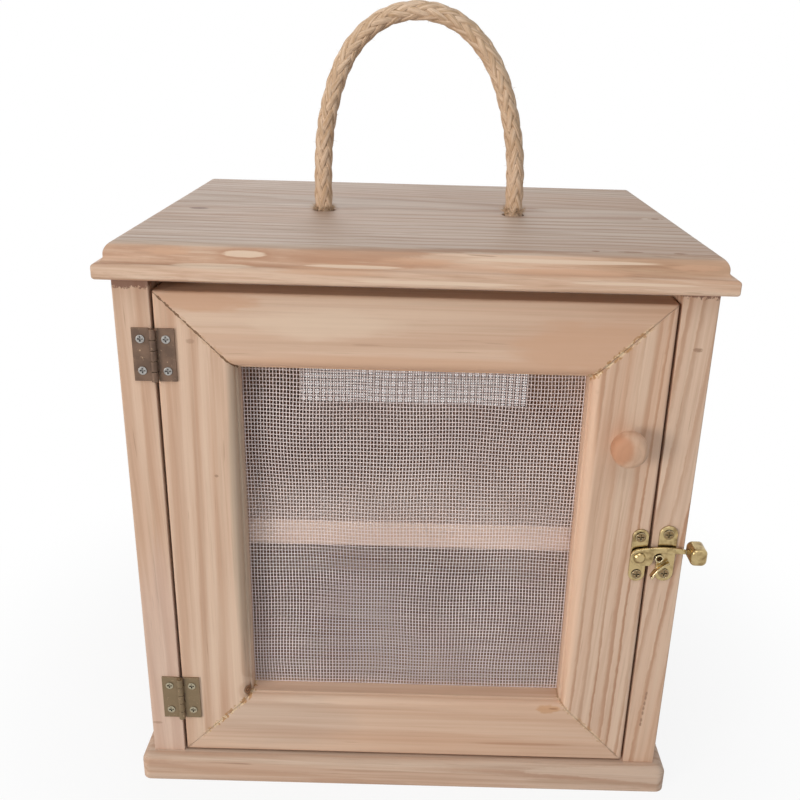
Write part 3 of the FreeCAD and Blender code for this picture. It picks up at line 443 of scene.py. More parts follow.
def frame_member(board, panel, part, seams):
    """Dress one stile or rail, with the mitres at its two ends."""
    for side, level in seams:
        if part in (side, level):
            mitred(board, panel, side, level, *seams[side, level])
    kind = "stile" if part in ("left", "right") else "rail"
    dress(board.done(), f"{panel}_{kind}_{part}")


# How dark and how chipped each mitre is.
BACK_SEAMS = {(side, level): (0.6, 0.3) for side in ("left", "right") for level in ("top", "bottom")}
for part, grain, pith, ring_gap, seed in (
    ("left", "Z", (-0.04, 0.15, 0), 0.0060, 6.0),
    ("right", "Z", (0.17, 0.16, 0), 0.0070, 7.0),
    ("top", "X", (0, 0.17, 0.30), 0.0062, 8.0),
    ("bottom", "X", (0, 0.06, 0.01), 0.0056, 9.0),
):
    frame_member(Pine("pine_back_" + part, grain, pith, ring_gap, seed), "back", part, BACK_SEAMS)


# The door frame: stiles and rails of raw pine, mitred together, with a moulded inner edge.
# The stiles are straight grained with bold late wood lines, and the rails are plainer flat sawn wood.

DOOR_SEAMS = {
    ("left", "top"): (0.95, 0.25),
    ("right", "top"): (0.40, 0.95),
    ("left", "bottom"): (0.30, 0.95),
    ("right", "bottom"): (0.35, 0.45),
}

# Painted shade for the left stile's inner edge.
LEFT_EDGE_SHADE_PINE = (0.460, 0.370, 0.275)
SMEAR_PINE = (0.560, 0.300, 0.150)
# Painted light for the right stile's inner edge.
LIT_EDGE_PINE = (0.790, 0.530, 0.375)

door_left = Pine(
    "pine_door_left", "Z", pith=(-0.020, -0.070, 0), ring_gap=0.0105, seed=10.0, lean=(0.004, 0.006),
    late=0.60, early=0.30, wander=0.003, knots=[("Y", (-0.0929, -0.112, 0.0600), 0.0021)],
)
# Two dents, and painted shade on the inner edge, which faces away from the light.
door_left.patch((-0.1130, FRONT, 0.2735), (0.0024, 0.004, 0.0014), DENT_PINE, 0.45)
door_left.patch((-0.1035, FRONT, 0.1990), (0.0012, 0.004, 0.0009), DENT_PINE, 0.7)
door_left.patch((-0.0925, FRONT + 0.004, 0.175), (0.0055, 0.012, 0.110), LEFT_EDGE_SHADE_PINE, 0.55, ragged=0.8)
frame_member(door_left, "door", "left", DOOR_SEAMS)

door_right = Pine(
    "pine_door_right", "Z", pith=(0.035, -0.085, 0), ring_gap=0.0058, seed=11.0, lean=(-0.06, 0.01),
    late=0.95, feather=0.0018,
)
# A dent, and painted light on the inner edge, which faces the light.
door_right.patch((0.0945, FRONT + 0.004, 0.2520), (0.0016, 0.004, 0.0024), DENT_PINE, 0.55)
door_right.patch((0.0925, FRONT + 0.004, 0.165), (0.0050, 0.012, 0.130), LIT_EDGE_PINE, 0.7, ragged=0.6)
frame_member(door_right, "door", "right", DOOR_SEAMS)

door_top = Pine(
    "pine_door_top", "X", pith=(0, -0.045, 0.31), ring_gap=0.0120, seed=12.0, late=0.25, early=0.2, blush=0.9,
    fine=0.7,
)
# Reddish clouds at both ends and a cream one between them, and along the lower edge a reddish band of painted
# shade, where the moulding faces down.
door_top.patch((-0.1060, FRONT, 0.2945), (0.0300, 0.006, 0.0062), BLUSH_PINE, 0.85, ragged=1.6)
door_top.patch((0.0900, FRONT, 0.2760), (0.0450, 0.006, 0.0150), BLUSH_PINE, 0.8, ragged=1.6)
door_top.patch((-0.0450, FRONT, 0.2840), (0.0420, 0.006, 0.0085), CREAM_PINE, 0.55, ragged=1.4)
# Painted shade along the lower edge.
door_top.patch((0, FRONT, 0.2625), (0.130, 0.012, 0.0065), BLUSH_PINE, 0.7, ragged=0.8)
frame_member(door_top, "door", "top", DOOR_SEAMS)

door_bottom = Pine(
    "pine_door_bottom", "X", pith=(0, -0.05, 0.0), ring_gap=0.0085, seed=13.0, late=0.30, early=0.3, fine=0.7
)
# Grey wear on the left, and a dark line and a smear on the right.
door_bottom.patch((-0.0750, FRONT, 0.0390), (0.0500, 0.012, 0.0200), GREY_WEAR_AND_TOP_SHADE, 0.45, blend="MULTIPLY")
door_bottom.patch((0.0700, FRONT, 0.0270), (0.0320, 0.006, 0.0010), LATE_PINE, 0.5)
door_bottom.patch((0.0840, FRONT, 0.0525), (0.0075, 0.006, 0.0028), SMEAR_PINE, 0.7, ragged=1.8)
door_bottom.patch((0.0872, FRONT, 0.0530), (0.0032, 0.006, 0.0005), KNOT_RING_PINE, 0.8)
frame_member(door_bottom, "door", "bottom", DOOR_SEAMS)


# The beads: thin strips of the same pine, four round each screen.
# They lie in the rebate behind the screen and hold its edges there.

for part, grain, seed in (("bottom", "X", 6.0), ("top", "X", 3.0), ("left", "Z", 4.0), ("right", "Z", 5.0)):
    for panel, panel_seed in (("door", 20.0), ("back", 30.0)):
        bead = Pine(
            f"bead_{panel}_{part}", grain, pith=(0.02, 0.03, 0.12), ring_gap=0.0045,
            seed=panel_seed + seed, late=0.7,
        )
        dress(bead.done(), f"{panel}_bead_{part}")


# The screens: plastic insect mesh, one in the door and one in the back.
# Each is plain woven, every thread going over and under the ones it crosses, cut with a small
# margin and held under its beads. The cloth is a little slack, so its rows wave.

ACROSS_GAP = 0.00176
UP_GAP = 0.00215
DOOR_THREAD = 0.00049
BACK_THREAD = 0.00104
WEAVE_RISE = 0.00022
SLACK = 0.00050
SECOND_WAVE = 0.6
HELD_MARGIN = 0.02
THREAD_SIDES = 4
MESH_PALE = (0.965, 0.840, 0.815)
MESH_GREY = (0.850, 0.720, 0.700)


def slack_at(x, z):
    """How far the slack shifts a crossing across, up and out: uneven waves, two in the plane each way."""
    across = SLACK * (np.sin(38 * z + 55 * x) + SECOND_WAVE * np.sin(91 * z - 43 * x + 1.0))
    up = SLACK * (np.sin(47 * x + 21 * z + 2.0) + SECOND_WAVE * np.sin(112 * x - 35 * z))
    out = SLACK / 2 * np.sin(29 * x + 1.2) * np.sin(33 * z + 0.4)
    return across, up, out


def tube_faces(runs, rings, sides):
    """Quads of tubes that lie one after another, rings in each, with both ends closed."""
    faces = []
    for run in range(runs):
        first = run * rings * sides
        for ring in range(rings - 1):
            low = first + ring * sides
            for side in range(sides):
                after = (side + 1) % sides
                faces.append((low + side, low + after, low + sides + after, low + sides + side))
        faces.append(tuple(first + side for side in reversed(range(sides))))
        faces.append(tuple(first + (rings - 1) * sides + side for side in range(sides)))
    return faces


def mesh_piece(name, points, faces, finish):
    mesh = bpy.data.meshes.new(name)
    mesh.from_pydata([tuple(p) for p in points], [], faces)
    mesh.polygons.foreach_set("use_smooth", [True] * len(mesh.polygons))
    mesh.materials.append(finish)
    mesh.update()
    piece = bpy.data.objects.new(name, mesh)
    bpy.context.scene.collection.objects.link(piece)
    return piece


def woven_screen(name, thread_wide, finish):
    """Every thread of one screen as a tube: first those that run up, then those that run across."""
    low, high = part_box(name)
    columns = round((high.x - low.x) / ACROSS_GAP)
    rows = round((high.z - low.z) / UP_GAP)
    x = np.linspace(low.x + thread_wide, high.x - thread_wide, columns)
    z = np.linspace(low.z + thread_wide, high.z - thread_wide, rows)
    grid_x, grid_z = np.meshgrid(x, z, indexing="ij")
    held = np.minimum(1, np.minimum(grid_x - low.x, high.x - grid_x) / HELD_MARGIN)
    held = held * np.minimum(1, np.minimum(grid_z - low.z, high.z - grid_z) / HELD_MARGIN)
    across, up, out = slack_at(grid_x, grid_z)
    knot_x = grid_x + across * held
    knot_z = grid_z + up * held
    knot_y = (low.y + high.y) / 2 + out * held
    over = np.where(np.add.outer(np.arange(columns), np.arange(rows)) % 2, WEAVE_RISE, -WEAVE_RISE)
    turn = np.arange(THREAD_SIDES) * 2 * math.pi / THREAD_SIDES
    half = thread_wide / 2

    warp = np.zeros((columns, rows, THREAD_SIDES, 3))
    warp[..., 0] = knot_x[..., None] + half * np.cos(turn)
    warp[..., 1] = (knot_y + over)[..., None] - half * np.sin(turn)
    warp[..., 2] = knot_z[..., None]
    weft = np.zeros((rows, columns, THREAD_SIDES, 3))
    weft[..., 0] = knot_x.T[..., None]
    weft[..., 1] = (knot_y - over).T[..., None] + half * np.sin(turn)
    weft[..., 2] = knot_z.T[..., None] + half * np.cos(turn)

    points = np.concatenate([warp.reshape(-1, 3), weft.reshape(-1, 3)])
    first = warp.size // 3
    faces = tube_faces(columns, rows, THREAD_SIDES)
    faces += [tuple(first + corner for corner in face) for face in tube_faces(rows, columns, THREAD_SIDES)]
    screen = mesh_piece(name + "_weave", points, faces, finish)
    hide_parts(name)
    return screen


def mesh_thread():
    finish = Finish("screen_thread")
    place = finish.place()
    tone = finish.noise(finish.scaled(place, (28, 28, 28)), detail=2)[0]
    speck = finish.noise(finish.scaled(place, (1500, 1500, 1500)), detail=1)[0]
    colour = finish.mix(finish.range(tone, 0.35, 0.7), MESH_PALE, MESH_GREY)
    colour = finish.mix(finish.range(speck, 0.4, 0.7, 0.0, 0.35), colour, MESH_PALE)
    rough = finish.range(speck, 0.3, 0.7, 0.38, 0.55)
    return finish.shine(Base_Color=colour, Roughness=rough, Normal=finish.bump(speck, 0.00004, 0.5))


thread = mesh_thread()
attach(woven_screen("door_screen", DOOR_THREAD, thread), "door")
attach(woven_screen("back_screen", BACK_THREAD, thread), "carcass")


# The knob: a small piece of pine turned on a lathe, with browner wood on its left.
# It stands on the door's right stile and is held by a screw from behind.

KNOB_TAN = (0.540, 0.265, 0.150)
knob_left, knob_front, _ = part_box("door_knob")[0]
knob_wood = Pine(
    "pine_knob", "Z", pith=(0.100, -0.128, 0), ring_gap=0.0046, seed=14.0, lean=(-0.12, 0.0),
    late=0.8, blush=0.8, wander=0.003,
)
# Reddish wood all over, the browner left part and a small dark speck.
for across, level, half, colour, share, ragged in (
    (0.0090, 0.2250, (0.0300, 0.030, 0.0300), BLUSH_PINE, 0.65, 0.5),
    (0.0035, 0.2265, (0.0080, 0.016, 0.0090), KNOB_TAN, 0.95, 0.5),
    (0.0045, 0.2165, (0.0005, 0.008, 0.0005), KNOT_PINE, 1.0, 1.0),
):
    knob_wood.patch((knob_left + across, knob_front, level), half, colour, share, ragged)
dress(knob_wood.done(), "door_knob")


# The hinges: two pressed steel butt hinges with a brown bronze coat, rubbed through in spots.
# Their leaves are screwed to the case and the door. The lower hinge is yellower than the upper one.

BRONZE = (0.185, 0.115, 0.078)
BRONZE_DARK = (0.125, 0.078, 0.054)
BRONZE_RUBBED = (0.480, 0.330, 0.210)
BRONZE_YELLOW = (0.255, 0.185, 0.100)
BETWEEN_HINGES = 0.16
HINGE_FADE = 0.05


def on_lower_hinge(finish, place):
    """1 at the height of the lower hinge and 0 at the height of the upper one."""
    return finish.range(finish.split(place)[2], BETWEEN_HINGES + HINGE_FADE, BETWEEN_HINGES - HINGE_FADE)


def bronze_coat():
    finish = Finish("hinge_bronze")
    place = finish.place()
    cloud = finish.noise(finish.scaled(place, (140, 140, 140)), detail=4)[0]
    rub = finish.noise(finish.scaled(place, (520, 520, 520), (3, 1, 2)), detail=3, roughness=0.7)[0]
    grain = finish.noise(finish.scaled(place, (2600, 2600, 2600)), detail=2)[0]
    rounded, edge = finish.soft_edge(0.0004)
    colour = finish.mix(finish.range(cloud, 0.35, 0.65), BRONZE, BRONZE_DARK)
    colour = finish.mix(finish.math("MULTIPLY", on_lower_hinge(finish, place), 0.75), colour, BRONZE_YELLOW)
    worn = finish.math("MAXIMUM", finish.range(rub, 0.62, 0.72, 0.0, 0.8), finish.math("MULTIPLY", edge, 0.5))
    colour = finish.mix(worn, colour, BRONZE_RUBBED)
    rough = finish.range(grain, 0.3, 0.7, 0.42, 0.58)
    normal = finish.bump(grain, 0.00003, 0.5, rounded)
    return finish.shine(Base_Color=colour, Metallic=0.55, Roughness=rough, Normal=normal)


bronze = bronze_coat()
for level in ("upper", "lower"):
    dress(bronze, f"hinge_{level}_side_leaf", f"hinge_{level}_door_leaf", f"hinge_{level}_pin")


# The screws and nails: zinc plated steel, the screws of the hinges cross headed, with painted shade in the
# slots.
# They hold the hinges, the base, the knob, the shelf and the back frame.

ZINC = (0.420, 0.405, 0.385)
ZINC_DULL = (0.270, 0.255, 0.240)
ZINC_HOLLOW_SHADE = (0.070, 0.062, 0.058)
ZINC_YELLOW = (0.440, 0.380, 0.250)


def zinc_plate():
    finish = Finish("zinc_plate")
    place = finish.place()
    cloud = finish.noise(finish.scaled(place, (700, 700, 700)), detail=3)[0]
    scratch = finish.noise(finish.scaled(place, (3000, 400, 3000)), detail=2)[0]
    rounded, _ = finish.soft_edge(0.0002)
    colour = finish.mix(finish.range(cloud, 0.35, 0.7), ZINC, ZINC_DULL)
    colour = finish.mix(finish.math("MULTIPLY", on_lower_hinge(finish, place), 0.8), colour, ZINC_YELLOW)
    # Painted shade in the slots and hollows.
    colour = finish.mix(finish.hollow(0.0012), colour, ZINC_HOLLOW_SHADE)
    rough = finish.range(scratch, 0.3, 0.7, 0.24, 0.42)
    normal = finish.bump(scratch, 0.00002, 0.5, rounded)
    return finish.shine(Base_Color=colour, Metallic=0.9, Roughness=rough, Normal=normal)


zinc = zinc_plate()
dress(
    zinc,
    "hinge_screws_side", "hinge_screws_door", "base_screws", "knob_screw", "shelf_nails", "back_frame_nails",
)


# The latch: a pressed and cast brass swing latch, polished, its plate on the door and its keeper
# on the case, both held by small brass screws. The arm turns on a domed rivet.

BRASS = (0.500, 0.380, 0.190)
BRASS_DARK_REFLECTION = (0.240, 0.160, 0.070)
BRASS_POLISH_AND_HIGHLIGHT = (0.930, 0.840, 0.580)
BRASS_AGED = (0.250, 0.165, 0.085)
BRASS_HOLLOW_SHADE = (0.085, 0.055, 0.022)


def polished_brass(name, base, edge_round, reach):
    finish = Finish(name)
    place = finish.place()
    cloud = finish.noise(finish.scaled(place, (240, 240, 240)), detail=3)[0]
    polish = finish.noise(finish.scaled(place, (1800, 1800, 260)), detail=3)[0]
    rounded, edge = finish.soft_edge(edge_round)
    # Painted reflection: dark patches, as of a dark room mirrored in the brass.
    colour = finish.mix(finish.range(cloud, 0.40, 0.75), base, BRASS_DARK_REFLECTION)
    # Bright edges: polish, and a painted highlight.
    colour = finish.mix(finish.math("MULTIPLY", edge, 0.8), colour, BRASS_POLISH_AND_HIGHLIGHT)
    # Painted shade in the hollows and round the edges of the plates.
    colour = finish.mix(finish.math("MULTIPLY", finish.hollow(reach), 0.95), colour, BRASS_HOLLOW_SHADE)
    rough = finish.range(polish, 0.3, 0.7, 0.14, 0.27)
    normal = finish.bump(polish, 0.00003, 0.4, rounded)
    return finish.shine(Base_Color=colour, Metallic=1.0, Roughness=rough, Normal=normal)


brass = polished_brass("latch_brass", BRASS, edge_round=0.0007, reach=0.0018)
dress(brass, "latch_plate", "latch_rivet", "latch_arm", "latch_keeper")
aged_brass = polished_brass("brass_screws", BRASS_AGED, edge_round=0.0003, reach=0.0020)
dress(aged_brass, "latch_plate_screws", "latch_keeper_screws")


# The rope handle: sixteen flat sisal strands plaited round a core, passed through two holes in the
# top board and stopped by a knot under each. It stands in an arch by its own stiffness.

ROPE_Y = -0.009
ROPE_ROUTE = [
    (-0.0555, -0.0040),
    (-0.0563, 0.0270),
    (-0.0528, 0.0570),
    (-0.0433, 0.0850),
    (-0.0290, 0.1012),
    (-0.0125, 0.1090),
    (0.0065, 0.1094),
    (0.0250, 0.1014),
    (0.0420, 0.0815),
    (0.0515, 0.0530),
    (0.0560, 0.0250),
    (0.0555, -0.0040),
]
ROPE_RADIUS = 0.00525
STRANDS_EACH_WAY = 8
PLAIT_PITCH = 0.084
PLAIT_RISE = 0.00046
STRAND_WIDE = 0.00190
STRAND_THICK = 0.00105
STRAND_SIDES = 8
YARNS = 3
YARN_TWIST = 0.012
YARN_LUMP = 0.07
CORE_SHARE = 0.62
ROPE_SIDE = (0, 1, 0)
FIBRE_SHIFT = 7.3
ROPE_STEP = 0.0010
SISAL_PALE = (0.790, 0.580, 0.415)
SISAL_GOLD = (0.560, 0.365, 0.220)
SISAL_DARK = (0.300, 0.175, 0.095)
SISAL_GAP_SHADE = (0.150, 0.078, 0.038)


def smooth_line(name, route):
    """Points along the smooth spline whose control points are route."""
    curve = bpy.data.curves.new(name, "CURVE")
    curve.dimensions = "3D"
    curve.resolution_u = 48
    spline = curve.splines.new("NURBS")
    spline.points.add(len(route) - 1)
    for point, place in zip(spline.points, route):
        point.co = (*place, 1)
    spline.order_u = 3
    spline.use_endpoint_u = True
    guide = bpy.data.objects.new(name, curve)
    bpy.context.scene.collection.objects.link(guide)
    bpy.context.view_layer.update()
    line = bpy.data.meshes.new_from_object(guide)
    points = np.array([v.co for v in line.vertices])
    bpy.data.objects.remove(guide)
    bpy.data.meshes.remove(line)
    return points


def even_line(points, step):
    """The same line in even steps, with the distance along it."""
    runs = np.linalg.norm(np.diff(points, axis=0), axis=1)
    along = np.concatenate([[0], np.cumsum(runs)])
    wanted = np.linspace(0, along[-1], int(along[-1] / step) + 1)
    return np.stack([np.interp(wanted, along, points[:, i]) for i in range(3)], axis=1), wanted


def cross_axes(points):
    """Two unit directions across the line at each point, carried along it without twist."""
    ahead = np.gradient(points, axis=0)
    ahead /= np.linalg.norm(ahead, axis=1)[:, None]
    side = np.zeros_like(points)
    now = np.array(ROPE_SIDE, float)
    for i, forward in enumerate(ahead):
        now = now - forward * np.dot(now, forward)
        now = now / np.linalg.norm(now)
        side[i] = now
    return side, np.cross(ahead, side)


def strand_rings(line, along, side, up, strand, way, radius):
    """Rings of one flat strand that winds round the line, over two others and under two."""
    share = radius / ROPE_RADIUS
    turn = np.arange(STRAND_SIDES) * 2 * math.pi / STRAND_SIDES
    angle = strand * 2 * math.pi / STRANDS_EACH_WAY + way * 2 * math.pi * along / PLAIT_PITCH
    passing = way * 2 * STRANDS_EACH_WAY * along / PLAIT_PITCH + 2 * strand - 0.5
    rise = way * PLAIT_RISE * np.cos(2 * math.pi * passing / 4)
    reach = radius + (rise - PLAIT_RISE - STRAND_THICK) * share
    out = np.cos(angle)[:, None] * side + np.sin(angle)[:, None] * up
    centre = line + reach[:, None] * out
    ahead = np.gradient(centre, axis=0)
    ahead /= np.linalg.norm(ahead, axis=1)[:, None]
    flat = np.cross(ahead, out)
    flat /= np.linalg.norm(flat, axis=1)[:, None]
    lumps = 1 + YARN_LUMP * np.cos(YARNS * turn[None, :] + 2 * math.pi * along[:, None] / YARN_TWIST)
    wide = STRAND_WIDE * share * np.cos(turn)[None, :] * lumps
    thick = STRAND_THICK * share * np.sin(turn)[None, :] * lumps
    return centre[:, None, :] + wide[..., None] * flat[:, None, :] + thick[..., None] * out[:, None, :]


def plaited_rope(name, points, radius, finish):
    """A core and the strands round it, with each point's place in its strand kept as lay."""
    line, along = even_line(points, ROPE_STEP)
    side, up = cross_axes(line)
    turn = np.arange(STRAND_SIDES) * 2 * math.pi / STRAND_SIDES
    core = np.cos(turn)[None, :, None] * side[:, None, :] + np.sin(turn)[None, :, None] * up[:, None, :]
    rings = [line[:, None, :] + CORE_SHARE * radius * core]
    for way in (1, -1):
        for strand in range(STRANDS_EACH_WAY):
            rings.append(strand_rings(line, along, side, up, strand, way, radius))
    points = np.concatenate([ring.reshape(-1, 3) for ring in rings])
    rope = mesh_piece(name, points, tube_faces(len(rings), len(line), STRAND_SIDES), finish)
    lay = np.zeros((len(rings), len(line), STRAND_SIDES, 3))
    lay[..., 0] = np.arange(len(rings))[:, None, None] * FIBRE_SHIFT + np.cos(turn)
    lay[..., 1] = np.sin(turn)
    lay[..., 2] = along[None, :, None]
    rope.data.attributes.new("lay", "FLOAT_VECTOR", "POINT").data.foreach_set("vector", lay.ravel())
    return rope


def sisal():
    finish = Finish("sisal")
    place = finish.place()
    lay = finish.step("Attribute", {}, attribute_name="lay").outputs["Vector"]
    fibre = finish.noise(finish.scaled(lay, (5.0, 5.0, 260)), detail=4, roughness=0.7)[0]
    yarn = finish.noise(finish.scaled(lay, (1.6, 1.6, 70), (4, 2, 1)), detail=2)[0]
    cloud = finish.noise(finish.scaled(place, (70, 70, 70)), detail=2)[0]
    colour = finish.mix(finish.range(yarn, 0.36, 0.68), SISAL_PALE, SISAL_GOLD)
    colour = finish.mix(finish.range(fibre, 0.50, 0.72, 0.0, 0.60), colour, SISAL_DARK)
    colour = finish.mix(finish.range(cloud, 0.42, 0.7, 0.0, 0.35), colour, SISAL_GOLD)
    # Painted shade in the gaps between the strands.
    colour = finish.mix(finish.math("MULTIPLY", finish.hollow(0.0014), 0.75), colour, SISAL_GAP_SHADE)
    rough = finish.range(fibre, 0.3, 0.7, 0.62, 0.85)
    normal = finish.bump(fibre, 0.0004, 0.8)
    return finish.shine(Base_Color=colour, Roughness=rough, Normal=normal, Specular_IOR_Level=0.3)


sisal_rope = sisal()
rope_line = smooth_line("rope_line", [(x, ROPE_Y, TOP_FACE + above) for x, above in ROPE_ROUTE])
rope = plaited_rope("rope_arch", rope_line, ROPE_RADIUS, sisal_rope)
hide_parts("rope_handle")


# The knots: the two ends of the same sisal rope, each tied in a thumb knot under the top board.
# Pulled tight, the rope is thinner there, and the knot bears on the board so that it can't slip out.

KNOT_ROUTE = [
    (0.0, 0.0, -0.004),
    (0.0, 0.0, -0.020),
    (0.0015, 0.0, -0.034),
    (0.0085, 0.0030, -0.0475),
    (0.0060, 0.0090, -0.0440),
    (-0.0045, 0.0095, -0.0390),
    (-0.0100, -0.0010, -0.0340),
    (-0.0040, -0.0100, -0.0300),
    (0.0070, -0.0085, -0.0270),
    (0.0105, 0.0030, -0.0260),
    (0.0020, 0.0105, -0.0280),
    (-0.0085, 0.0060, -0.0380),
    (-0.0075, -0.0030, -0.0480),
    (-0.0040, -0.0045, -0.0520),
]
KNOT_ROPE = 0.0042
for hand, way, hole in (("left", -1, ROPE_ROUTE[0][0]), ("right", 1, ROPE_ROUTE[-1][0])):
    turned = [(hole + way * x, ROPE_Y + y, TOP_FACE + z) for x, y, z in KNOT_ROUTE]
    knot = plaited_rope(f"knot_{hand}", smooth_line("knot_line", turned), KNOT_ROPE, sisal_rope)
    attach(knot, "carcass")
    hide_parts(f"rope_knot_{hand}")


# The fuzz: single sisal fibres worn out of the strands, which stand off the plait.
# They are longest and thickest where the rope rubs in its holes.

FUZZ_COUNT = 700
FUZZ_NEAR_HOLES = 420
FUZZ_RADIUS = 0.00008
FUZZ_STEPS = 4
FUZZ_SIDES = 3
FUZZ_SPAN = (0.03, 0.97)
FUZZ_LONG = (0.0010, 0.0032)
FUZZ_TURN = 0.6
FUZZ_LIFT = (0.15, 0.70)
FUZZ_CURL = 0.35
FUZZ_ROOT = ROPE_RADIUS - 0.0008
FRAY_REACH = 0.0072
FRAY_SPAN = (0.60, 1.0)
FRAY_LONG = (0.0020, 0.0048)
FRAY_THICKER = 1.7
FRAY_SLOPE = 0.35
FRAY_LIFT = 0.3
FUZZ_PALE = (0.640, 0.455, 0.300)
FUZZ_TAN = (0.550, 0.370, 0.215)


def loose_fibre():
    finish = Finish("loose_fibre")
    tone = finish.noise(finish.scaled(finish.place(), (900, 900, 900)), detail=2)[0]
    colour = finish.mix(finish.range(tone, 0.35, 0.65), FUZZ_PALE, FUZZ_TAN)
    rough = finish.range(tone, 0.3, 0.7, 0.6, 0.8)
    return finish.shine(Base_Color=colour, Roughness=rough, Normal=finish.bump(tone, 0.00005, 0.5))


def rope_fuzz(name, points, finish):
    """Thin tapered fibres, some anywhere along the rope and the frayed ones close to its holes."""
    pick = np.random.default_rng(7)
    line, along = even_line(points, ROPE_STEP)
    side, up = cross_axes(line)
    ahead = np.cross(side, up)
    near = FRAY_REACH / along[-1]
    spots = pick.uniform(*FUZZ_SPAN, FUZZ_COUNT)
    low = near * pick.uniform(*FRAY_SPAN, FUZZ_NEAR_HOLES)
    spots = np.concatenate([spots, np.where(np.arange(FUZZ_NEAR_HOLES) % 2, low, 1 - low)])
    rows = []
    for count, spot in enumerate(spots):
        frayed = count >= FUZZ_COUNT
        i = int(spot * (len(line) - 1))
        angle = pick.uniform(0, 2 * math.pi)
        out = math.cos(angle) * side[i] + math.sin(angle) * up[i]
        around = np.cross(ahead[i], out)
        slope = pick.normal(0, 1)
        turn = pick.normal(0, FUZZ_TURN)
        long = pick.uniform(*(FRAY_LONG if frayed else FUZZ_LONG))
        lift = pick.uniform(*FUZZ_LIFT)
        if frayed:
            slope = math.copysign(FRAY_SLOPE * slope, 0.5 - spot)
            lift = FRAY_LIFT + lift
        heading = out * lift + ahead[i] * slope + around * turn
        heading = heading / np.linalg.norm(heading)
        start = line[i] + out * FUZZ_ROOT
        curl = pick.normal(0, FUZZ_CURL, 3)
        for step in range(FUZZ_STEPS):
            share = step / (FUZZ_STEPS - 1)
            centre = start + heading * long * share + curl * long * share ** 2 * 0.5
            width = FUZZ_RADIUS * (1.15 - share) * (FRAY_THICKER if frayed else 1.0)
            for corner in range(FUZZ_SIDES):
                turn_now = 2 * math.pi * corner / FUZZ_SIDES
                rows.append(centre + width * (math.cos(turn_now) * around + math.sin(turn_now) * ahead[i]))
    fuzz = mesh_piece(name, rows, tube_faces(len(spots), FUZZ_STEPS, FUZZ_SIDES), finish)
    return fuzz


fuzz = rope_fuzz("rope_fuzz", rope_line, loose_fibre())
for piece in (rope, fuzz):
    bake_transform(piece)


# The floor, light and camera: a plain pale floor that fades to white, and a soft warm light from
# the front left, low down, in a cooler room.

FLOOR_HALF = 3.0
FLOOR_PALE = (0.80, 0.80, 0.80)
FADE_FROM = 0.17
FADE_TO = 0.38
WHITE_NEAR = 0.87


def white_seen(tree):
    """1 for what the camera sees, straight or by gloss or glass, and 0 for light on the object."""
    path = tree.nodes.new("ShaderNodeLightPath").outputs
    seen = path["Is Camera Ray"]
    for other in ("Is Glossy Ray", "Is Transmission Ray"):
        either = tree.nodes.new("ShaderNodeMath")
        either.operation = "MAXIMUM"
        tree.links.new(seen, either.inputs[0])
        tree.links.new(path[other], either.inputs[1])
        seen = either.outputs[0]
    return seen


def pale_floor():
    finish = Finish("floor")
    far = finish.step("VectorMath", {0: finish.place()}, operation="LENGTH").outputs["Value"]
    share = finish.range(far, FADE_FROM, FADE_TO, WHITE_NEAR, 1.0)
    share = finish.math("MULTIPLY", share, white_seen(finish.tree))
    glow = finish.step("Emission", {"Color": (1, 1, 1), "Strength": 1.0}).outputs[0]
    finish.shine(Base_Color=FLOOR_PALE, Roughness=0.9, Specular_IOR_Level=0.0)
    both = finish.step("MixShader", {0: share, 1: finish.shader.outputs[0], 2: glow}).outputs[0]
    finish.feed(finish.tree.nodes["Material Output"].inputs["Surface"], both)
    return finish.material


floor = mesh_piece(
    "floor",
    [(x * FLOOR_HALF, y * FLOOR_HALF, 0) for x, y in ((-1, -1), (1, -1), (1, 1), (-1, 1))],
    [(0, 1, 2, 3)],
    pale_floor(),
)


def room_light(strength, colour):
    world = bpy.data.worlds.new("room")
    world.use_nodes = True
    bpy.context.scene.world = world
    tree = world.node_tree
    white = tree.nodes.new("ShaderNodeBackground")
    white.inputs["Color"].default_value = (1, 1, 1, 1)
    dim = tree.nodes["Background"]
    dim.inputs["Color"].default_value = (*colour, 1)
    dim.inputs["Strength"].default_value = strength
    both = tree.nodes.new("ShaderNodeMixShader")
    tree.links.new(white_seen(tree), both.inputs[0])
    tree.links.new(dim.outputs[0], both.inputs[1])
    tree.links.new(white.outputs[0], both.inputs[2])
    tree.links.new(both.outputs[0], tree.nodes["World Output"].inputs["Surface"])


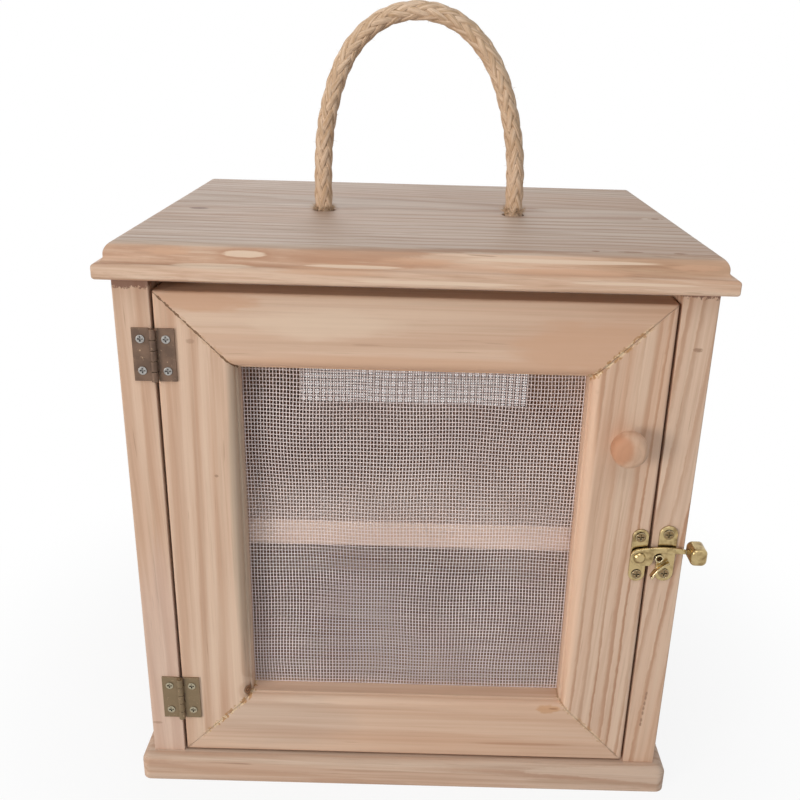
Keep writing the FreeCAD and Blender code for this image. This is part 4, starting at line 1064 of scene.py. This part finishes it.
def lamp(name, place, target, wide, power, colour):
    light = bpy.data.lights.new(name, "AREA")
    light.shape = "DISK"
    light.size = wide
    light.energy = power
    light.color = colour
    stand = bpy.data.objects.new(name, light)
    stand.location = place
    stand.rotation_euler = (Vector(target) - Vector(place)).to_track_quat("-Z", "Y").to_euler()
    bpy.context.scene.collection.objects.link(stand)


room_light(strength=0.37, colour=(0.90, 0.98, 1.03))
lamp("window_left", (-1.70, -1.65, 0.50), (0, 0, 0.18), wide=0.92, power=26.3, colour=(1.0, 0.93, 0.86))
lamp("ceiling", (0.0, -0.9, 1.6), (0, 0, 0.18), wide=1.2, power=8, colour=(0.95, 0.98, 1.0))
lamp("behind", (-0.3, 1.6, 1.2), (0, 0, 0.16), wide=1.2, power=7, colour=(1.0, 1.0, 1.0))

CAMERA_PLACE = (0.00183, -0.56105, 0.41368)
CAMERA_YAW = 0.001
CAMERA_PITCH = 0.369
CAMERA_ROLL = -0.0273
SENSOR_WIDE = 36
LENS_LONG = 41.89
LENS_SHIFT = (-0.0216, 0.0109)
NEAREST_SEEN = 0.01

forward = Vector((
    math.sin(CAMERA_YAW) * math.cos(CAMERA_PITCH),
    math.cos(CAMERA_YAW) * math.cos(CAMERA_PITCH),
    -math.sin(CAMERA_PITCH),
))
level = Vector((math.cos(CAMERA_YAW), -math.sin(CAMERA_YAW), 0))
down = forward.cross(level)
right = math.cos(CAMERA_ROLL) * level + math.sin(CAMERA_ROLL) * down
under = -math.sin(CAMERA_ROLL) * level + math.cos(CAMERA_ROLL) * down
lens = bpy.data.cameras.new("camera")
lens.sensor_width = SENSOR_WIDE
lens.lens = LENS_LONG
lens.shift_x, lens.shift_y = LENS_SHIFT
lens.clip_start = NEAREST_SEEN
camera = bpy.data.objects.new("camera", lens)
facing = Matrix((right, -under, -forward)).transposed().to_4x4()
camera.matrix_world = Matrix.Translation(CAMERA_PLACE) @ facing
bpy.context.scene.collection.objects.link(camera)
bpy.context.scene.camera = camera
bpy.context.scene.view_settings.view_transform = "Standard"
